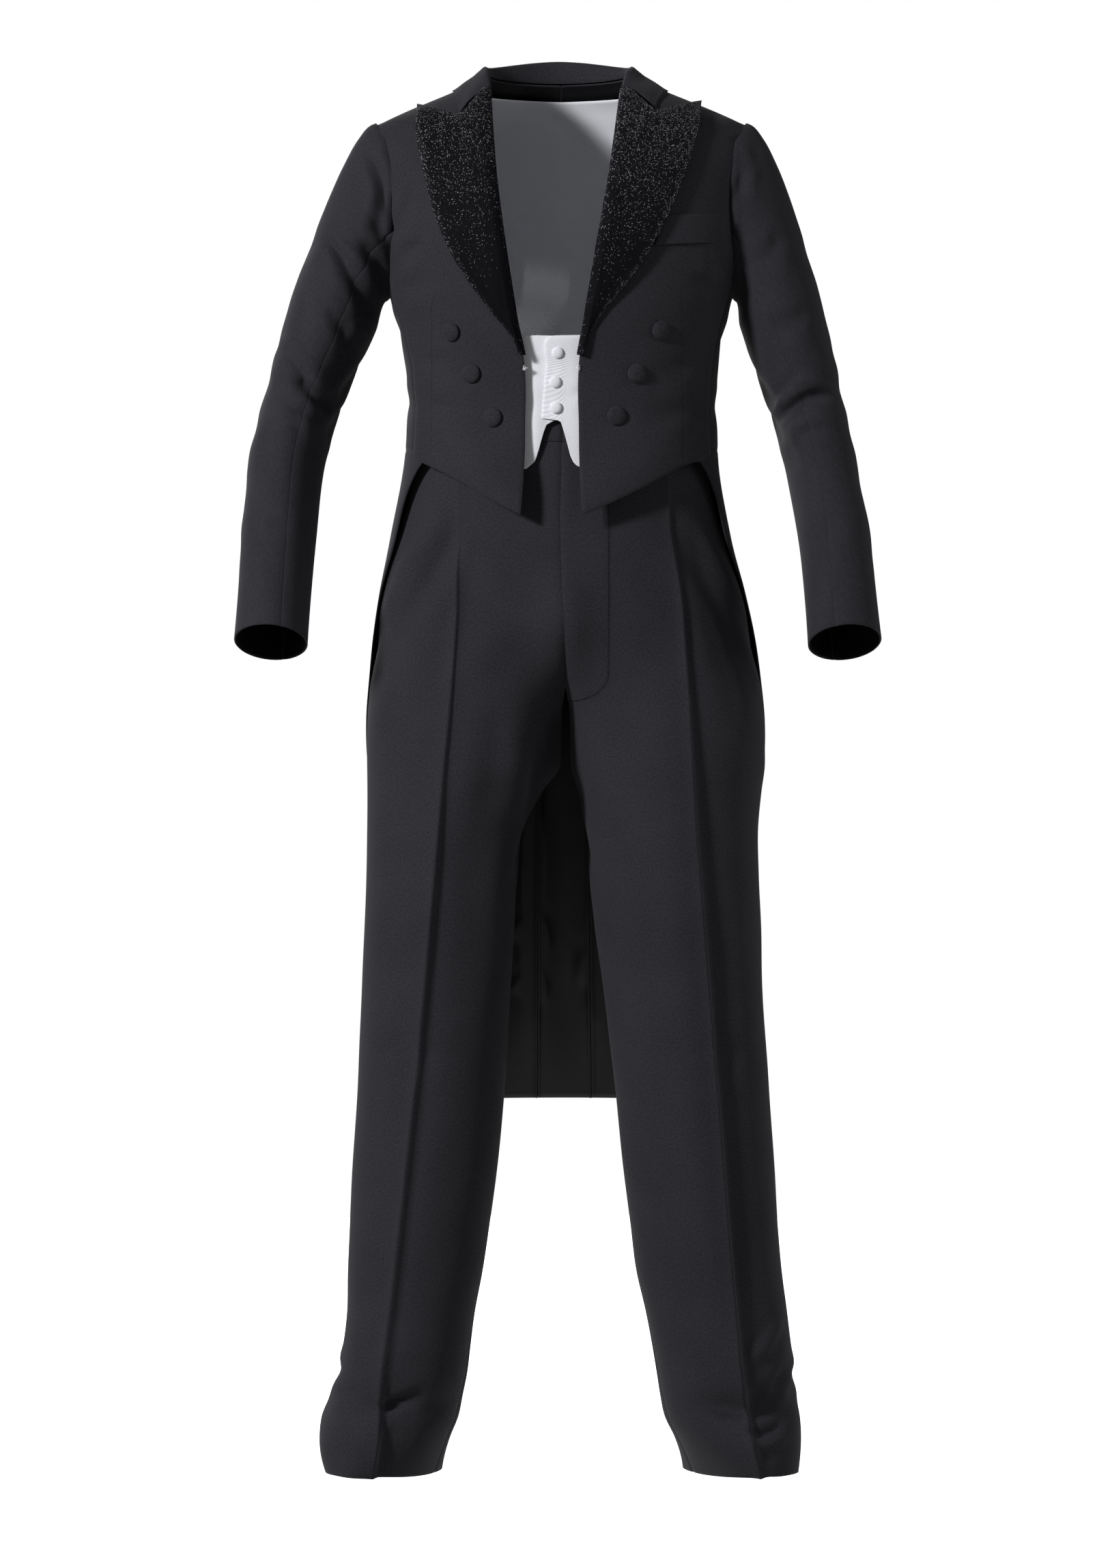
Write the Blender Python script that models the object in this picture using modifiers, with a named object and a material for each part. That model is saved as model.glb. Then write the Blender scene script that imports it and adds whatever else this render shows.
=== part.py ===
"""A full-dress tailcoat suit, worn and hollow: tailcoat, white waistcoat and trousers.

Every cut piece is its own object. Heights are metres above the floor that the wearer stands on,
+X is the wearer's left and -Y is the front. An empty at the neck, where the suit is held, carries
the pieces and puts the origin there.
"""

import math
from types import SimpleNamespace

import bpy
import numpy as np
from mathutils import Vector

# Where the wearer holds the suit up, and the thickness of each cloth
HOLD_HEIGHT = 1.560
COAT_WALL = 0.0020
LAPEL_WALL = 0.0016
SLEEVE_WALL = 0.0018
WAISTCOAT_WALL = 0.0016
TROUSER_WALL = 0.0016

# Gap at each side of a sewn seam, between the middles of the two walls' edges
SEAM_HALF_GAP = 0.0004

# Heights of the coat
NECK_SEAM = 1.590
FRONT_TOP = 1.581
SHOULDER_TIP = 1.534
ARMPIT = 1.346
ARMHOLE_HALF_DEPTH = 0.056
FRONT_SEAM_TOP = 1.372
BACK_SEAM_TOP = 1.430
TAIL_HEM = 0.452
WAIST = 1.176
FRONT_SEAM_FOOT = 1.181
FRONT_SEAM_DEPTH = 0.047
FRONT_HEM_BELLY = 0.006

# Heights of the waistcoat and the trousers
WAISTCOAT_INSET = 0.0084
WAISTCOAT_OVERLAP = 0.0029
WAISTCOAT_EDGE = 1.2915
BAND_WALL = 0.0022
BAND_TOP = 1.236
BAND_BOTTOM = 1.183
CROTCH = 0.835
HIP_BLEND_TOP = 1.000
HIP_SPREAD = 1.5
HEM = 0.050
HEM_SLOPE = 0.012
CREASE_RIDGE = 0.0045

# Buttons, hook and eye
FRONT_BUTTON = 0.0205
WAISTCOAT_BUTTON = 0.0125
CUFF_BUTTON = 0.0150
WIRE = 0.0011
BUTTON_SIDES = 12
CUFF_BUTTON_STEP = 5.35

FRONT = -0.5 * math.pi
BACK = 0.5 * math.pi
RIGHT = -1
LEFT = 1
SIDE_NAMES = {RIGHT: "right", LEFT: "left"}


class Sections:
    """A short table with named columns, read smoothly between its rows by its first column."""

    def __init__(self, columns, *rows):
        table = np.array(sorted(rows), float)
        self.names = columns.split()[1:]
        self.keys = table[:, 0]
        self.values = table[:, 1:]
        self.slopes = np.gradient(self.values, self.keys, axis=0)

    def at(self, key):
        key = min(max(key, self.keys[0]), self.keys[-1])
        row = min(max(int(np.searchsorted(self.keys, key)) - 1, 0), len(self.keys) - 2)
        span = self.keys[row + 1] - self.keys[row]
        t = (key - self.keys[row]) / span
        start = (2 * t**3 - 3 * t**2 + 1) * self.values[row]
        start = start + (t**3 - 2 * t**2 + t) * span * self.slopes[row]
        end = (3 * t**2 - 2 * t**3) * self.values[row + 1]
        end = end + (t**3 - t**2) * span * self.slopes[row + 1]
        return SimpleNamespace(**dict(zip(self.names, start + end)))


# The coat's form in level sections, from the tail hem to the neck: squareness 2 is an ellipse,
# and under 2 the two sides run to a ridge, which is the shoulder line.
COAT_FORM = Sections(
    "height half_width front back lean squareness",
    (0.440, 0.200, 0.120, 0.146, 0.000, 2.50),
    (0.620, 0.218, 0.120, 0.140, 0.002, 2.50),
    (0.850, 0.228, 0.118, 0.139, 0.004, 2.45),
    (0.950, 0.213, 0.118, 0.138, 0.003, 2.40),
    (1.030, 0.199, 0.117, 0.132, 0.000, 2.35),
    (1.090, 0.1850, 0.117, 0.118, -0.002, 2.30),
    (1.150, 0.1745, 0.116, 0.099, -0.001, 2.30),
    (1.210, 0.1685, 0.115, 0.091, 0.000, 2.30),
    (1.260, 0.1690, 0.119, 0.096, 0.000, 2.30),
    (1.310, 0.1770, 0.126, 0.108, -0.001, 2.30),
    (1.350, 0.1880, 0.129, 0.117, -0.001, 2.30),
    (1.400, 0.1960, 0.128, 0.123, -0.001, 2.25),
    (1.450, 0.2010, 0.118, 0.123, -0.002, 2.20),
    (1.500, 0.2065, 0.099, 0.116, -0.002, 2.05),
    (1.520, 0.2070, 0.088, 0.109, -0.002, 1.90),
    (1.534, 0.2050, 0.080, 0.104, -0.001, 1.75),
    (1.5405, 0.1885, 0.077, 0.100, -0.001, 1.70),
    (1.5515, 0.1650, 0.070, 0.094, -0.001, 1.65),
    (1.562, 0.1395, 0.062, 0.087, -0.001, 1.62),
    (1.572, 0.1155, 0.055, 0.079, -0.002, 1.62),
    (1.581, 0.0955, 0.049, 0.071, -0.003, 1.70),
    (1.590, 0.0785, 0.044, 0.062, -0.004, 1.90),
)

# Front edges of the coat, with the lapel's roll line above the break
FRONT_EDGE = Sections(
    "height right left",
    (1.100, -0.0430, 0.0197),
    (1.128, -0.0410, 0.0182),
    (1.202, -0.0395, 0.0168),
    (1.271, -0.0410, 0.0174),
    (1.306, -0.0489, 0.0240),
    (1.350, -0.0560, 0.0312),
    (1.394, -0.0630, 0.0385),
    (1.445, -0.0700, 0.0475),
    (1.490, -0.0748, 0.0548),
    (1.530, -0.0770, 0.0600),
    (1.564, -0.0785, 0.0640),
    (1.585, -0.0810, 0.0700),
)

# The curved seam of the back, and the centre vent of the tails
BACK_SEAM = Sections(
    "height across",
    (0.440, 0.062),
    (0.900, 0.056),
    (1.170, 0.052),
    (1.210, 0.060),
    (1.270, 0.082),
    (1.330, 0.115),
    (1.380, 0.149),
    (1.430, 0.186),
)
VENT = Sections(
    "height across",
    (0.440, -0.028),
    (0.800, -0.024),
    (1.000, -0.010),
    (1.170, 0.000),
    (1.600, -0.001),
)

# The swept front edge of the tails, by how far back it lies
TAIL_EDGE = Sections(
    "height depth",
    (0.440, 0.112),
    (0.600, 0.102),
    (0.800, 0.064),
    (0.900, 0.030),
    (1.000, -0.012),
    (1.050, -0.031),
    (1.085, -0.040),
    (1.126, -0.046),
    (1.145, -0.051),
    (1.165, -0.066),
)

# The waist seam that joins the skirts, by depth from front to back
WAIST_SEAM = Sections(
    "depth height",
    (-0.066, 1.1640),
    (-0.056, 1.1720),
    (-0.047, 1.1790),
    (-0.036, 1.1800),
    (0.000, 1.1800),
    (0.060, 1.1750),
    (0.100, 1.1720),
)

# Lapels: from the notch down, the outer edge beside the roll line
LAPEL_ROWS = {
    RIGHT: (
        # roll height, edge across, edge height
        (1.5640, -0.1560, 1.5500),
        (1.5200, -0.1540, 1.5120),
        (1.4750, -0.1450, 1.4680),
        (1.4300, -0.1330, 1.4250),
        (1.3850, -0.1170, 1.3825),
        (1.3450, -0.0960, 1.3480),
        (1.3100, -0.0740, 1.3180),
        (1.2860, -0.0520, 1.2900),
        (1.2740, -0.0440, 1.2740),
    ),
    LEFT: (
        (1.5640, 0.1500, 1.5550),
        (1.5200, 0.1420, 1.5130),
        (1.4750, 0.1290, 1.4700),
        (1.4300, 0.1120, 1.4280),
        (1.3850, 0.0920, 1.3850),
        (1.3450, 0.0680, 1.3500),
        (1.3100, 0.0450, 1.3220),
        (1.2860, 0.0280, 1.2930),
        (1.2740, 0.0205, 1.2740),
    ),
}
NOTCH = {RIGHT: (-0.1110, 1.5330), LEFT: (0.1010, 1.5380)}
NOTCH_COLUMN = 4
LAPEL_PLACES = (0, 0.3, 0.6, 0.9, 1.3, 1.8, 2.4, 3, 3.7, 4.4, 5.2, 6, 7, 8)
LAPEL_TOP_LIFT = 0.0018

# The collar: heights of its roll, and of the two rows of the fall beside the neck
COLLAR_WALL = 0.0018
COLLAR_ROLL_BACK = 1.615
COLLAR_ROLL_SIDE = 1.5985
COLLAR_ROLL_FRONT = 1.5695
COLLAR_MIDDLE = 1.5820
COLLAR_EDGE = 1.5715
COLLAR_MIDDLE_OUT = 0.0056
COLLAR_EDGE_OUT = 0.0046
COLLAR_FOOT_GAP = 0.0016
COLLAR_NOTCH_GAP = 0.0045

# A cross-section of the rolled lapel: share of the width, shift from the roll line, rise off the coat
LAPEL_PROFILE = (
    (0.00, 0.0000, 0.0000),
    (0.00, -0.0020, 0.0030),
    (0.00, 0.0035, 0.0064),
    (0.20, 0.0000, 0.0070),
    (0.42, 0.0000, 0.0058),
    (0.61, 0.0000, 0.0046),
    (0.80, 0.0000, 0.0040),
    (1.00, 0.0000, 0.0036),
)

# Rows that join the inner and the outer edge of each ruled panel, from the top down
COAT_FRONT_ROWS = (
    # inner height, outer height
    (1.581, 1.581),
    (1.568, 1.572),
    (1.553, 1.562),
    (1.538, 1.5515),
    (1.523, 1.5405),
    (1.508, 1.534),
    (1.490, 1.512),
    (1.440, 1.450),
    (1.372, 1.372),
    (1.271, 1.285),
    (1.102, FRONT_SEAM_FOOT),
)
COAT_BACK_ROWS = (
    (1.590, 1.590),
    (1.580, 1.581),
    (1.566, 1.572),
    (1.553, 1.562),
    (1.540, 1.5515),
    (1.528, 1.5405),
    (1.515, 1.534),
    (1.430, 1.430),
    (1.172, 1.172),
    (TAIL_HEM, TAIL_HEM),
)

WAISTCOAT_OPENING = Sections(
    "height right left",
    (1.2915, -0.0560, 0.0360),
    (1.3300, -0.0760, 0.0560),
    (1.3800, -0.0860, 0.0660),
    (1.4500, -0.0920, 0.0740),
    (1.5300, -0.0940, 0.0840),
    (1.5780, -0.0860, 0.0820),
)
WAISTCOAT_ARMHOLE = Sections(
    "height across",
    (1.335, 0.1780),
    (1.345, 0.1720),
    (1.370, 0.1580),
    (1.420, 0.1500),
    (1.500, 0.1480),
    (1.562, 0.1425),
)
# The placket, where the left front laps over the right
PLACKET = Sections(
    "height right left",
    (1.205, -0.0080, -0.0227),
    (1.2915, -0.0060, -0.0156),
)

# How far the trousers lie inside the coat's form above the crotch
TROUSER_INSET = Sections(
    "height inset",
    (0.800, 0.0140),
    (0.900, 0.0100),
    (0.980, 0.0053),
    (1.040, 0.0053),
    (1.100, 0.0100),
    (1.160, 0.0140),
    (1.240, 0.0150),
)

# One leg in level sections; the legs differ a little, as the wearer stands
LEGS = {
    RIGHT: Sections(
        "height centre half_width middle front back turn",
        (0.040, -0.1965, 0.0550, 0.030, 0.098, 0.098, 17),
        (0.070, -0.1965, 0.0610, 0.024, 0.102, 0.094, 16),
        (0.100, -0.1920, 0.0715, 0.018, 0.098, 0.090, 14),
        (0.130, -0.1850, 0.0720, 0.012, 0.086, 0.088, 11),
        (0.160, -0.1770, 0.0705, 0.008, 0.090, 0.086, 9),
        (0.220, -0.1680, 0.0692, 0.006, 0.088, 0.084, 6),
        (0.280, -0.1617, 0.0734, 0.004, 0.088, 0.084, 4),
        (0.340, -0.1560, 0.0767, 0.002, 0.088, 0.084, 2),
        (0.400, -0.1505, 0.0795, 0.000, 0.089, 0.085, 0),
        (0.480, -0.1440, 0.0806, -0.002, 0.091, 0.086, 0),
        (0.580, -0.1390, 0.0812, -0.002, 0.093, 0.090, 0),
        (0.675, -0.1340, 0.0817, -0.002, 0.098, 0.098, 0),
        (0.770, -0.1270, 0.0870, 0.000, 0.103, 0.106, 0),
        (0.835, -0.1080, 0.1060, 0.002, 0.108, 0.107, 0),
    ),
    LEFT: Sections(
        "height centre half_width middle front back turn",
        (0.040, 0.1965, 0.0520, 0.032, 0.098, 0.098, 19),
        (0.070, 0.1965, 0.0580, 0.026, 0.102, 0.094, 18),
        (0.100, 0.1895, 0.0690, 0.018, 0.096, 0.090, 15),
        (0.130, 0.1850, 0.0730, 0.012, 0.087, 0.088, 12),
        (0.160, 0.1810, 0.0745, 0.008, 0.091, 0.086, 9),
        (0.220, 0.1721, 0.0769, 0.006, 0.089, 0.084, 6),
        (0.280, 0.1617, 0.0793, 0.004, 0.088, 0.084, 4),
        (0.340, 0.1557, 0.0808, 0.002, 0.088, 0.084, 2),
        (0.400, 0.1500, 0.0830, 0.000, 0.089, 0.085, 0),
        (0.480, 0.1430, 0.0840, -0.002, 0.091, 0.086, 0),
        (0.580, 0.1335, 0.0865, -0.002, 0.093, 0.090, 0),
        (0.675, 0.1260, 0.0920, -0.002, 0.098, 0.098, 0),
        (0.770, 0.1200, 0.0950, 0.000, 0.103, 0.106, 0),
        (0.835, 0.1160, 0.1060, 0.002, 0.108, 0.107, 0),
    ),
}
TROUSER_HEIGHTS = (
    BAND_BOTTOM, 1.145, 1.105, 1.065, 1.025, 0.985, 0.950, 0.920, 0.893, 0.870, 0.850, CROTCH,
    0.805, 0.765, 0.715, 0.660, 0.600, 0.545, 0.490, 0.435, 0.380, 0.325, 0.275, 0.230,
    0.190, 0.160, 0.135, 0.112, 0.088, HEM,
)
# The breaks over the feet and the fullest folds: around (radians), height, spans, tilt, depth
LEG_FOLDS = {
    RIGHT: (
        (-1.75, 0.146, 0.70, 0.014, 0.010, -0.0065),
        (-1.40, 0.112, 0.80, 0.016, -0.006, 0.0055),
        (0.10, 0.105, 0.50, 0.020, 0.000, 0.0040),
        (-2.60, 0.820, 0.55, 0.030, 0.050, -0.0050),
        (-2.20, 0.740, 0.45, 0.030, 0.060, 0.0040),
        (1.60, 0.520, 0.80, 0.030, 0.010, -0.0045),
        (1.60, 0.470, 0.80, 0.026, -0.010, 0.0040),
    ),
    LEFT: (
        (-1.35, 0.140, 0.75, 0.013, -0.008, -0.0070),
        (-1.65, 0.106, 0.80, 0.017, 0.006, 0.0060),
        (0.05, 0.100, 0.50, 0.020, 0.000, 0.0035),
        (-2.65, 0.810, 0.55, 0.030, 0.050, -0.0050),
        (-2.15, 0.725, 0.45, 0.030, 0.060, 0.0040),
        (1.50, 0.515, 0.80, 0.030, -0.010, -0.0045),
        (1.55, 0.462, 0.80, 0.026, 0.010, 0.0040),
    ),
}
TROUSER_COLUMNS = 8
LEG_SQUARENESS = 2.15

# The arms' line below the armhole, with the sleeve's half width across and along the view
SLEEVES = {
    RIGHT: Sections(
        "step x y z half_side half_depth",
        (0, -0.2510, 0.006, 1.331, 0.0485, 0.0700),
        (1, -0.2735, 0.004, 1.270, 0.0435, 0.0670),
        (2, -0.2918, -0.006, 1.210, 0.0400, 0.0630),
        (3, -0.3040, -0.026, 1.149, 0.0408, 0.0600),
        (4, -0.3079, -0.052, 1.088, 0.0402, 0.0560),
        (5, -0.3098, -0.080, 1.028, 0.0383, 0.0505),
        (6, -0.3122, -0.107, 0.968, 0.0386, 0.0450),
    ),
    LEFT: Sections(
        "step x y z half_side half_depth",
        (0, 0.2405, 0.006, 1.331, 0.0455, 0.0700),
        (1, 0.2580, 0.004, 1.270, 0.0425, 0.0670),
        (2, 0.2735, -0.006, 1.210, 0.0378, 0.0630),
        (3, 0.2860, -0.026, 1.149, 0.0380, 0.0600),
        (4, 0.2946, -0.052, 1.088, 0.0382, 0.0560),
        (5, 0.2986, -0.080, 1.028, 0.0374, 0.0505),
        (6, 0.3023, -0.107, 0.968, 0.0386, 0.0450),
    ),
}
SLEEVE_CAP_ROWS = 6
SLEEVE_STEP_ROWS = 3
SLEEVE_START_GAP = 0.0037
# Seam places round the sleeve: 0 is the front, a quarter turn is the outer side
SLEEVE_FRONT_SEAM = -0.35
SLEEVE_BACK_SEAM = math.pi + 0.25
TOP_SLEEVE_COLUMNS = 9
UNDER_SLEEVE_COLUMNS = 6

SLEEVE_FOLDS = (
    # around (radians), along (steps of the sleeve tables), half angle, half steps, depth
    (0.2, 1.75, 0.9, 0.28, -0.0050),
    (-0.5, 2.35, 0.8, 0.25, 0.0045),
    (2.9, 2.0, 0.8, 0.40, 0.0040),
    (1.5, 3.4, 1.0, 0.45, -0.0030),
)


def scene_start():
    """Removes what the scene holds and makes the collection and the holding point."""
    for obj in list(bpy.data.objects):
        bpy.data.objects.remove(obj)
    suit = bpy.data.collections.new("tailcoat_suit")
    bpy.context.scene.collection.children.link(suit)
    hold = bpy.data.objects.new("worn_at_neck", None)
    hold.location = (0, 0, -HOLD_HEIGHT)
    suit.objects.link(hold)
    return suit, hold


def cloth_material(name, colour, roughness, metallic=0.0):
    material = bpy.data.materials.new(name)
    material.use_nodes = True
    shader = material.node_tree.nodes["Principled BSDF"]
    shader.inputs["Base Color"].default_value = (*colour, 1)
    shader.inputs["Roughness"].default_value = roughness
    shader.inputs["Metallic"].default_value = metallic
    material.diffuse_color = (*colour, 1)
    return material


SUIT, HOLD = scene_start()
WOOL = cloth_material("black_wool", (0.022, 0.022, 0.024), 0.85)
FACING = cloth_material("glitter_facing", (0.010, 0.010, 0.011), 0.45)
PIQUE = cloth_material("white_pique", (0.80, 0.81, 0.86), 0.80)
STEEL = cloth_material("hook_steel", (0.55, 0.55, 0.56), 0.30, 1.0)


def add_object(name, data, material):
    obj = bpy.data.objects.new(name, data)
    data.materials.append(material)
    obj.parent = HOLD
    SUIT.objects.link(obj)
    return obj


def blend(a, b, share):
    return a + (b - a) * share


def ease(share):
    """0 to 1 with soft ends."""
    share = min(max(share, 0.0), 1.0)
    return share * share * (3 - 2 * share)


def bump(distance):
    return math.exp(-distance * distance)


def split_rows(pairs, longest):
    """Rows between the given pairs of heights, none further apart than longest."""
    rows = [pairs[0]]
    for first, last in zip(pairs, pairs[1:]):
        drop = max(abs(first[0] - last[0]), abs(first[1] - last[1]))
        steps = max(1, math.ceil(drop / longest - 0.01))
        for step in range(1, steps + 1):
            rows.append((blend(first[0], last[0], step / steps), blend(first[1], last[1], step / steps)))
    return rows


def cloth_piece(name, grid, wall, material, gaps=(0, 0, 0, 0)):
    """A panel from rows of points: a wall round their surface, drawn in at its first and last
    column and row by the four gaps."""
    grid = [[Vector(point) for point in row] for row in grid]
    first_column, last_column, first_row, last_row = gaps
    for row in grid:
        row[0] = row[0] + (row[1] - row[0]).normalized() * first_column
        row[-1] = row[-1] + (row[-2] - row[-1]).normalized() * last_column
    grid[0] = [a + (b - a).normalized() * first_row for a, b in zip(grid[0], grid[1])]
    grid[-1] = [a + (b - a).normalized() * last_row for a, b in zip(grid[-1], grid[-2])]
    columns = len(grid[0])
    points = [point for row in grid for point in row]
    faces = []
    for r in range(len(grid) - 1):
        for c in range(columns - 1):
            corner = r * columns + c
            faces.append((corner, corner + 1, corner + 1 + columns, corner + columns))
    mesh = bpy.data.meshes.new(name)
    mesh.from_pydata(points, [], faces)
    mesh.shade_smooth()
    obj = add_object(name, mesh, material)
    solidify = obj.modifiers.new("cloth_wall", "SOLIDIFY")
    solidify.thickness = wall
    solidify.offset = 0
    solidify.use_even_offset = False
    return obj


def ring_point(section, side, angle):
    """A point of a level section: angle 0 at the side, a quarter turn at the back."""
    across = math.cos(angle)
    along = math.sin(angle)
    power = 2 / section.squareness
    depth = section.back if along > 0 else section.front
    x = section.lean + side * section.half_width * math.copysign(abs(across) ** power, across)
    return Vector((x, depth * math.copysign(abs(along) ** power, along), 0))


def on_coat(side, angle, height, out=0.0):
    """A point on the coat's form, moved out along its normal."""
    point = ring_point(COAT_FORM.at(height), side, angle)
    point.z = height
    if out == 0:
        return point
    turn = 0.03
    rise = 0.004
    here = COAT_FORM.at(height)
    around = ring_point(here, side, angle + turn) - ring_point(here, side, angle - turn)
    upper = ring_point(COAT_FORM.at(height + rise), side, angle)
    lower = ring_point(COAT_FORM.at(height - rise), side, angle)
    up = upper - lower
    up.z = 2 * rise
    return point + (around.cross(up) * side).normalized() * out


def angle_across(side, x, height, half=-1):
    """The angle at which the section reaches this x, on the front half or the back half."""
    section = COAT_FORM.at(height)
    share = min(max(side * (x - section.lean) / section.half_width, -1.0), 1.0)
    return half * math.acos(math.copysign(abs(share) ** (section.squareness / 2), share))


def angle_deep(y, height):
    """The angle at which the section reaches this depth, near the side."""
    section = COAT_FORM.at(height)
    depth = section.back if y > 0 else section.front
    share = min(abs(y) / depth, 1.0)
    return math.copysign(math.asin(share ** (section.squareness / 2)), y)


def armhole_depth(height):
    middle = 0.5 * (SHOULDER_TIP + ARMPIT)
    half = 0.5 * (SHOULDER_TIP - ARMPIT)
    return ARMHOLE_HALF_DEPTH * math.sqrt(max(0.0, 1 - ((height - middle) / half) ** 2))


def on_coat_front(side, x, height, out=0.0):
    return on_coat(side, angle_across(side, x, height), height, out)


def front_edge(side, height):
    row = FRONT_EDGE.at(height)
    return row.left if side == LEFT else row.right


def front_side_angle(height):
    """The coat front's outer edge: shoulder seam, armhole, then the seam to the side body."""
    if height >= SHOULDER_TIP:
        return 0.0
    if height > FRONT_SEAM_TOP:
        return angle_deep(-armhole_depth(height), height)
    top = armhole_depth(FRONT_SEAM_TOP)
    fall = (FRONT_SEAM_TOP - height) / (FRONT_SEAM_TOP - FRONT_SEAM_FOOT)
    return angle_deep(-blend(top, FRONT_SEAM_DEPTH, fall), height)


def back_side_angle(side, height):
    """The back's outer edge: shoulder seam, armhole, then the curved seam."""
    if height >= SHOULDER_TIP:
        return 0.0
    if height > BACK_SEAM_TOP:
        return angle_deep(armhole_depth(height), height)
    across = VENT.at(height).across + side * BACK_SEAM.at(height).across
    return angle_across(side, across, height, 1)


def coat_fronts():
    for side in (RIGHT, LEFT):
        grid = []
        for inner, outer in split_rows(COAT_FRONT_ROWS, 0.036):
            start = angle_across(side, front_edge(side, inner), inner)
            end = front_side_angle(outer)
            row = []
            for column in range(9):
                share = column / 8
                height = blend(inner, outer, share)
                low = ease((FRONT_SEAM_FOOT + 0.02 - inner) / 0.08)
                belly = FRONT_HEM_BELLY * math.sin(math.pi * share) * low
                row.append(on_coat(side, blend(start, end, share), height + belly))
            grid.append(row)
        gaps = (0.0009, SEAM_HALF_GAP, SEAM_HALF_GAP, SEAM_HALF_GAP)
        cloth_piece(f"coat_front_{SIDE_NAMES[side]}", grid, COAT_WALL, WOOL, gaps)


def coat_backs():
    """Each back runs from the neck to the tail hem, with the vent at the centre below the waist."""
    for side in (RIGHT, LEFT):
        grid = []
        for inner, outer in split_rows(COAT_BACK_ROWS, 0.048):
            centre = angle_across(side, VENT.at(inner).across, inner, 1)
            edge = back_side_angle(side, outer)
            columns = 6
            row = []
            for column in range(columns + 1):
                share = column / columns
                row.append(on_coat(side, blend(edge, centre, share), blend(outer, inner, share)))
            grid.append(row)
        gaps = (SEAM_HALF_GAP, SEAM_HALF_GAP, SEAM_HALF_GAP, 0)
        cloth_piece(f"coat_back_{SIDE_NAMES[side]}", grid, COAT_WALL, WOOL, gaps)


def waist_height(side, angle):
    return WAIST_SEAM.at(on_coat(side, angle, WAIST).y).height


def side_bodies():
    """The panel under the arm, between the front and the back, above the waist seam."""
    for side in (RIGHT, LEFT):
        top_angles = front_side_angle(FRONT_SEAM_TOP), back_side_angle(side, BACK_SEAM_TOP)
        foot_angles = front_side_angle(FRONT_SEAM_FOOT), back_side_angle(side, WAIST)
        grid = []
        for level in range(7):
            row = []
            for column in range(9):
                share = column / 8
                # The top edge is the lower half of the armhole
                dip = math.sqrt(max(0.0, 1 - (2 * share - 1) ** 2))
                top = blend(blend(FRONT_SEAM_TOP, BACK_SEAM_TOP, share), ARMPIT, dip)
                foot = waist_height(side, blend(*foot_angles, share))
                height = blend(top, foot, level / 6)
                start = front_side_angle(min(height, FRONT_SEAM_TOP))
                end = back_side_angle(side, min(height, BACK_SEAM_TOP))
                angle = blend(start, end, share) if level else blend(*top_angles, share)
                row.append(on_coat(side, angle, height))
            grid.append(row)
        gaps = (SEAM_HALF_GAP, SEAM_HALF_GAP, SEAM_HALF_GAP, SEAM_HALF_GAP)
        cloth_piece(f"coat_side_{SIDE_NAMES[side]}", grid, COAT_WALL, WOOL, gaps)


def tail_skirts():
    """The skirts below the waist seam, whose front edges sweep back over the hips."""
    for side in (RIGHT, LEFT):
        rows = split_rows(COAT_BACK_ROWS, 0.048)
        heights = [WAIST] + [outer for _, outer in rows if outer < WAIST - 0.006]
        grid = []
        for level, height in enumerate(heights):
            start = angle_deep(TAIL_EDGE.at(height).depth, height)
            end = back_side_angle(side, height)
            row = []
            for column in range(8):
                angle = blend(start, end, column / 7)
                lift = waist_height(side, angle) - WAIST
                row.append(on_coat(side, angle, height + lift * ease(1 - level / 3)))
            grid.append(row)
        gaps = (0, SEAM_HALF_GAP, SEAM_HALF_GAP, 0)
        cloth_piece(f"coat_skirt_{SIDE_NAMES[side]}", grid, COAT_WALL, WOOL, gaps)


def lapel_spot(side, lapel_row, column, at_gorge):
    """Across and height of a point of the lapel; its top row dips to the notch."""
    roll_height, edge_x, edge_height = lapel_row
    share, shift, _ = LAPEL_PROFILE[column]
    roll_x = front_edge(side, roll_height)
    if not at_gorge:
        return blend(roll_x, edge_x, share) + side * shift, blend(roll_height, edge_height, share)
    notch_x, notch_height = NOTCH[side]
    bend = LAPEL_PROFILE[NOTCH_COLUMN][0]
    if column <= NOTCH_COLUMN:
        to_notch = share / bend
        return blend(roll_x, notch_x, to_notch) + side * shift, blend(roll_height, notch_height, to_notch)
    beyond = (share - bend) / (1 - bend)
    return blend(notch_x, edge_x, beyond), blend(notch_height, edge_height, beyond)


def lapels():
    for side in (RIGHT, LEFT):
        rows = LAPEL_ROWS[side]
        grid = []
        for place in LAPEL_PLACES:
            above = min(int(place), len(rows) - 2)
            upper, lower = (
                [lapel_spot(side, rows[level], column, level == 0) for column in range(len(LAPEL_PROFILE))]
                for level in (above, above + 1)
            )
            row = []
            for (x_up, height_up), (x_low, height_low), (_, _, out) in zip(upper, lower, LAPEL_PROFILE):
                x = blend(x_up, x_low, place - above)
                height = blend(height_up, height_low, place - above)
                row.append(on_coat_front(side, x, height, out + LAPEL_TOP_LIFT * ease(1 - place / 1.4)))
            grid.append(row)
        cloth_piece(f"lapel_{SIDE_NAMES[side]}", grid, LAPEL_WALL, FACING, (0, 0, 0.0008, 0))


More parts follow.
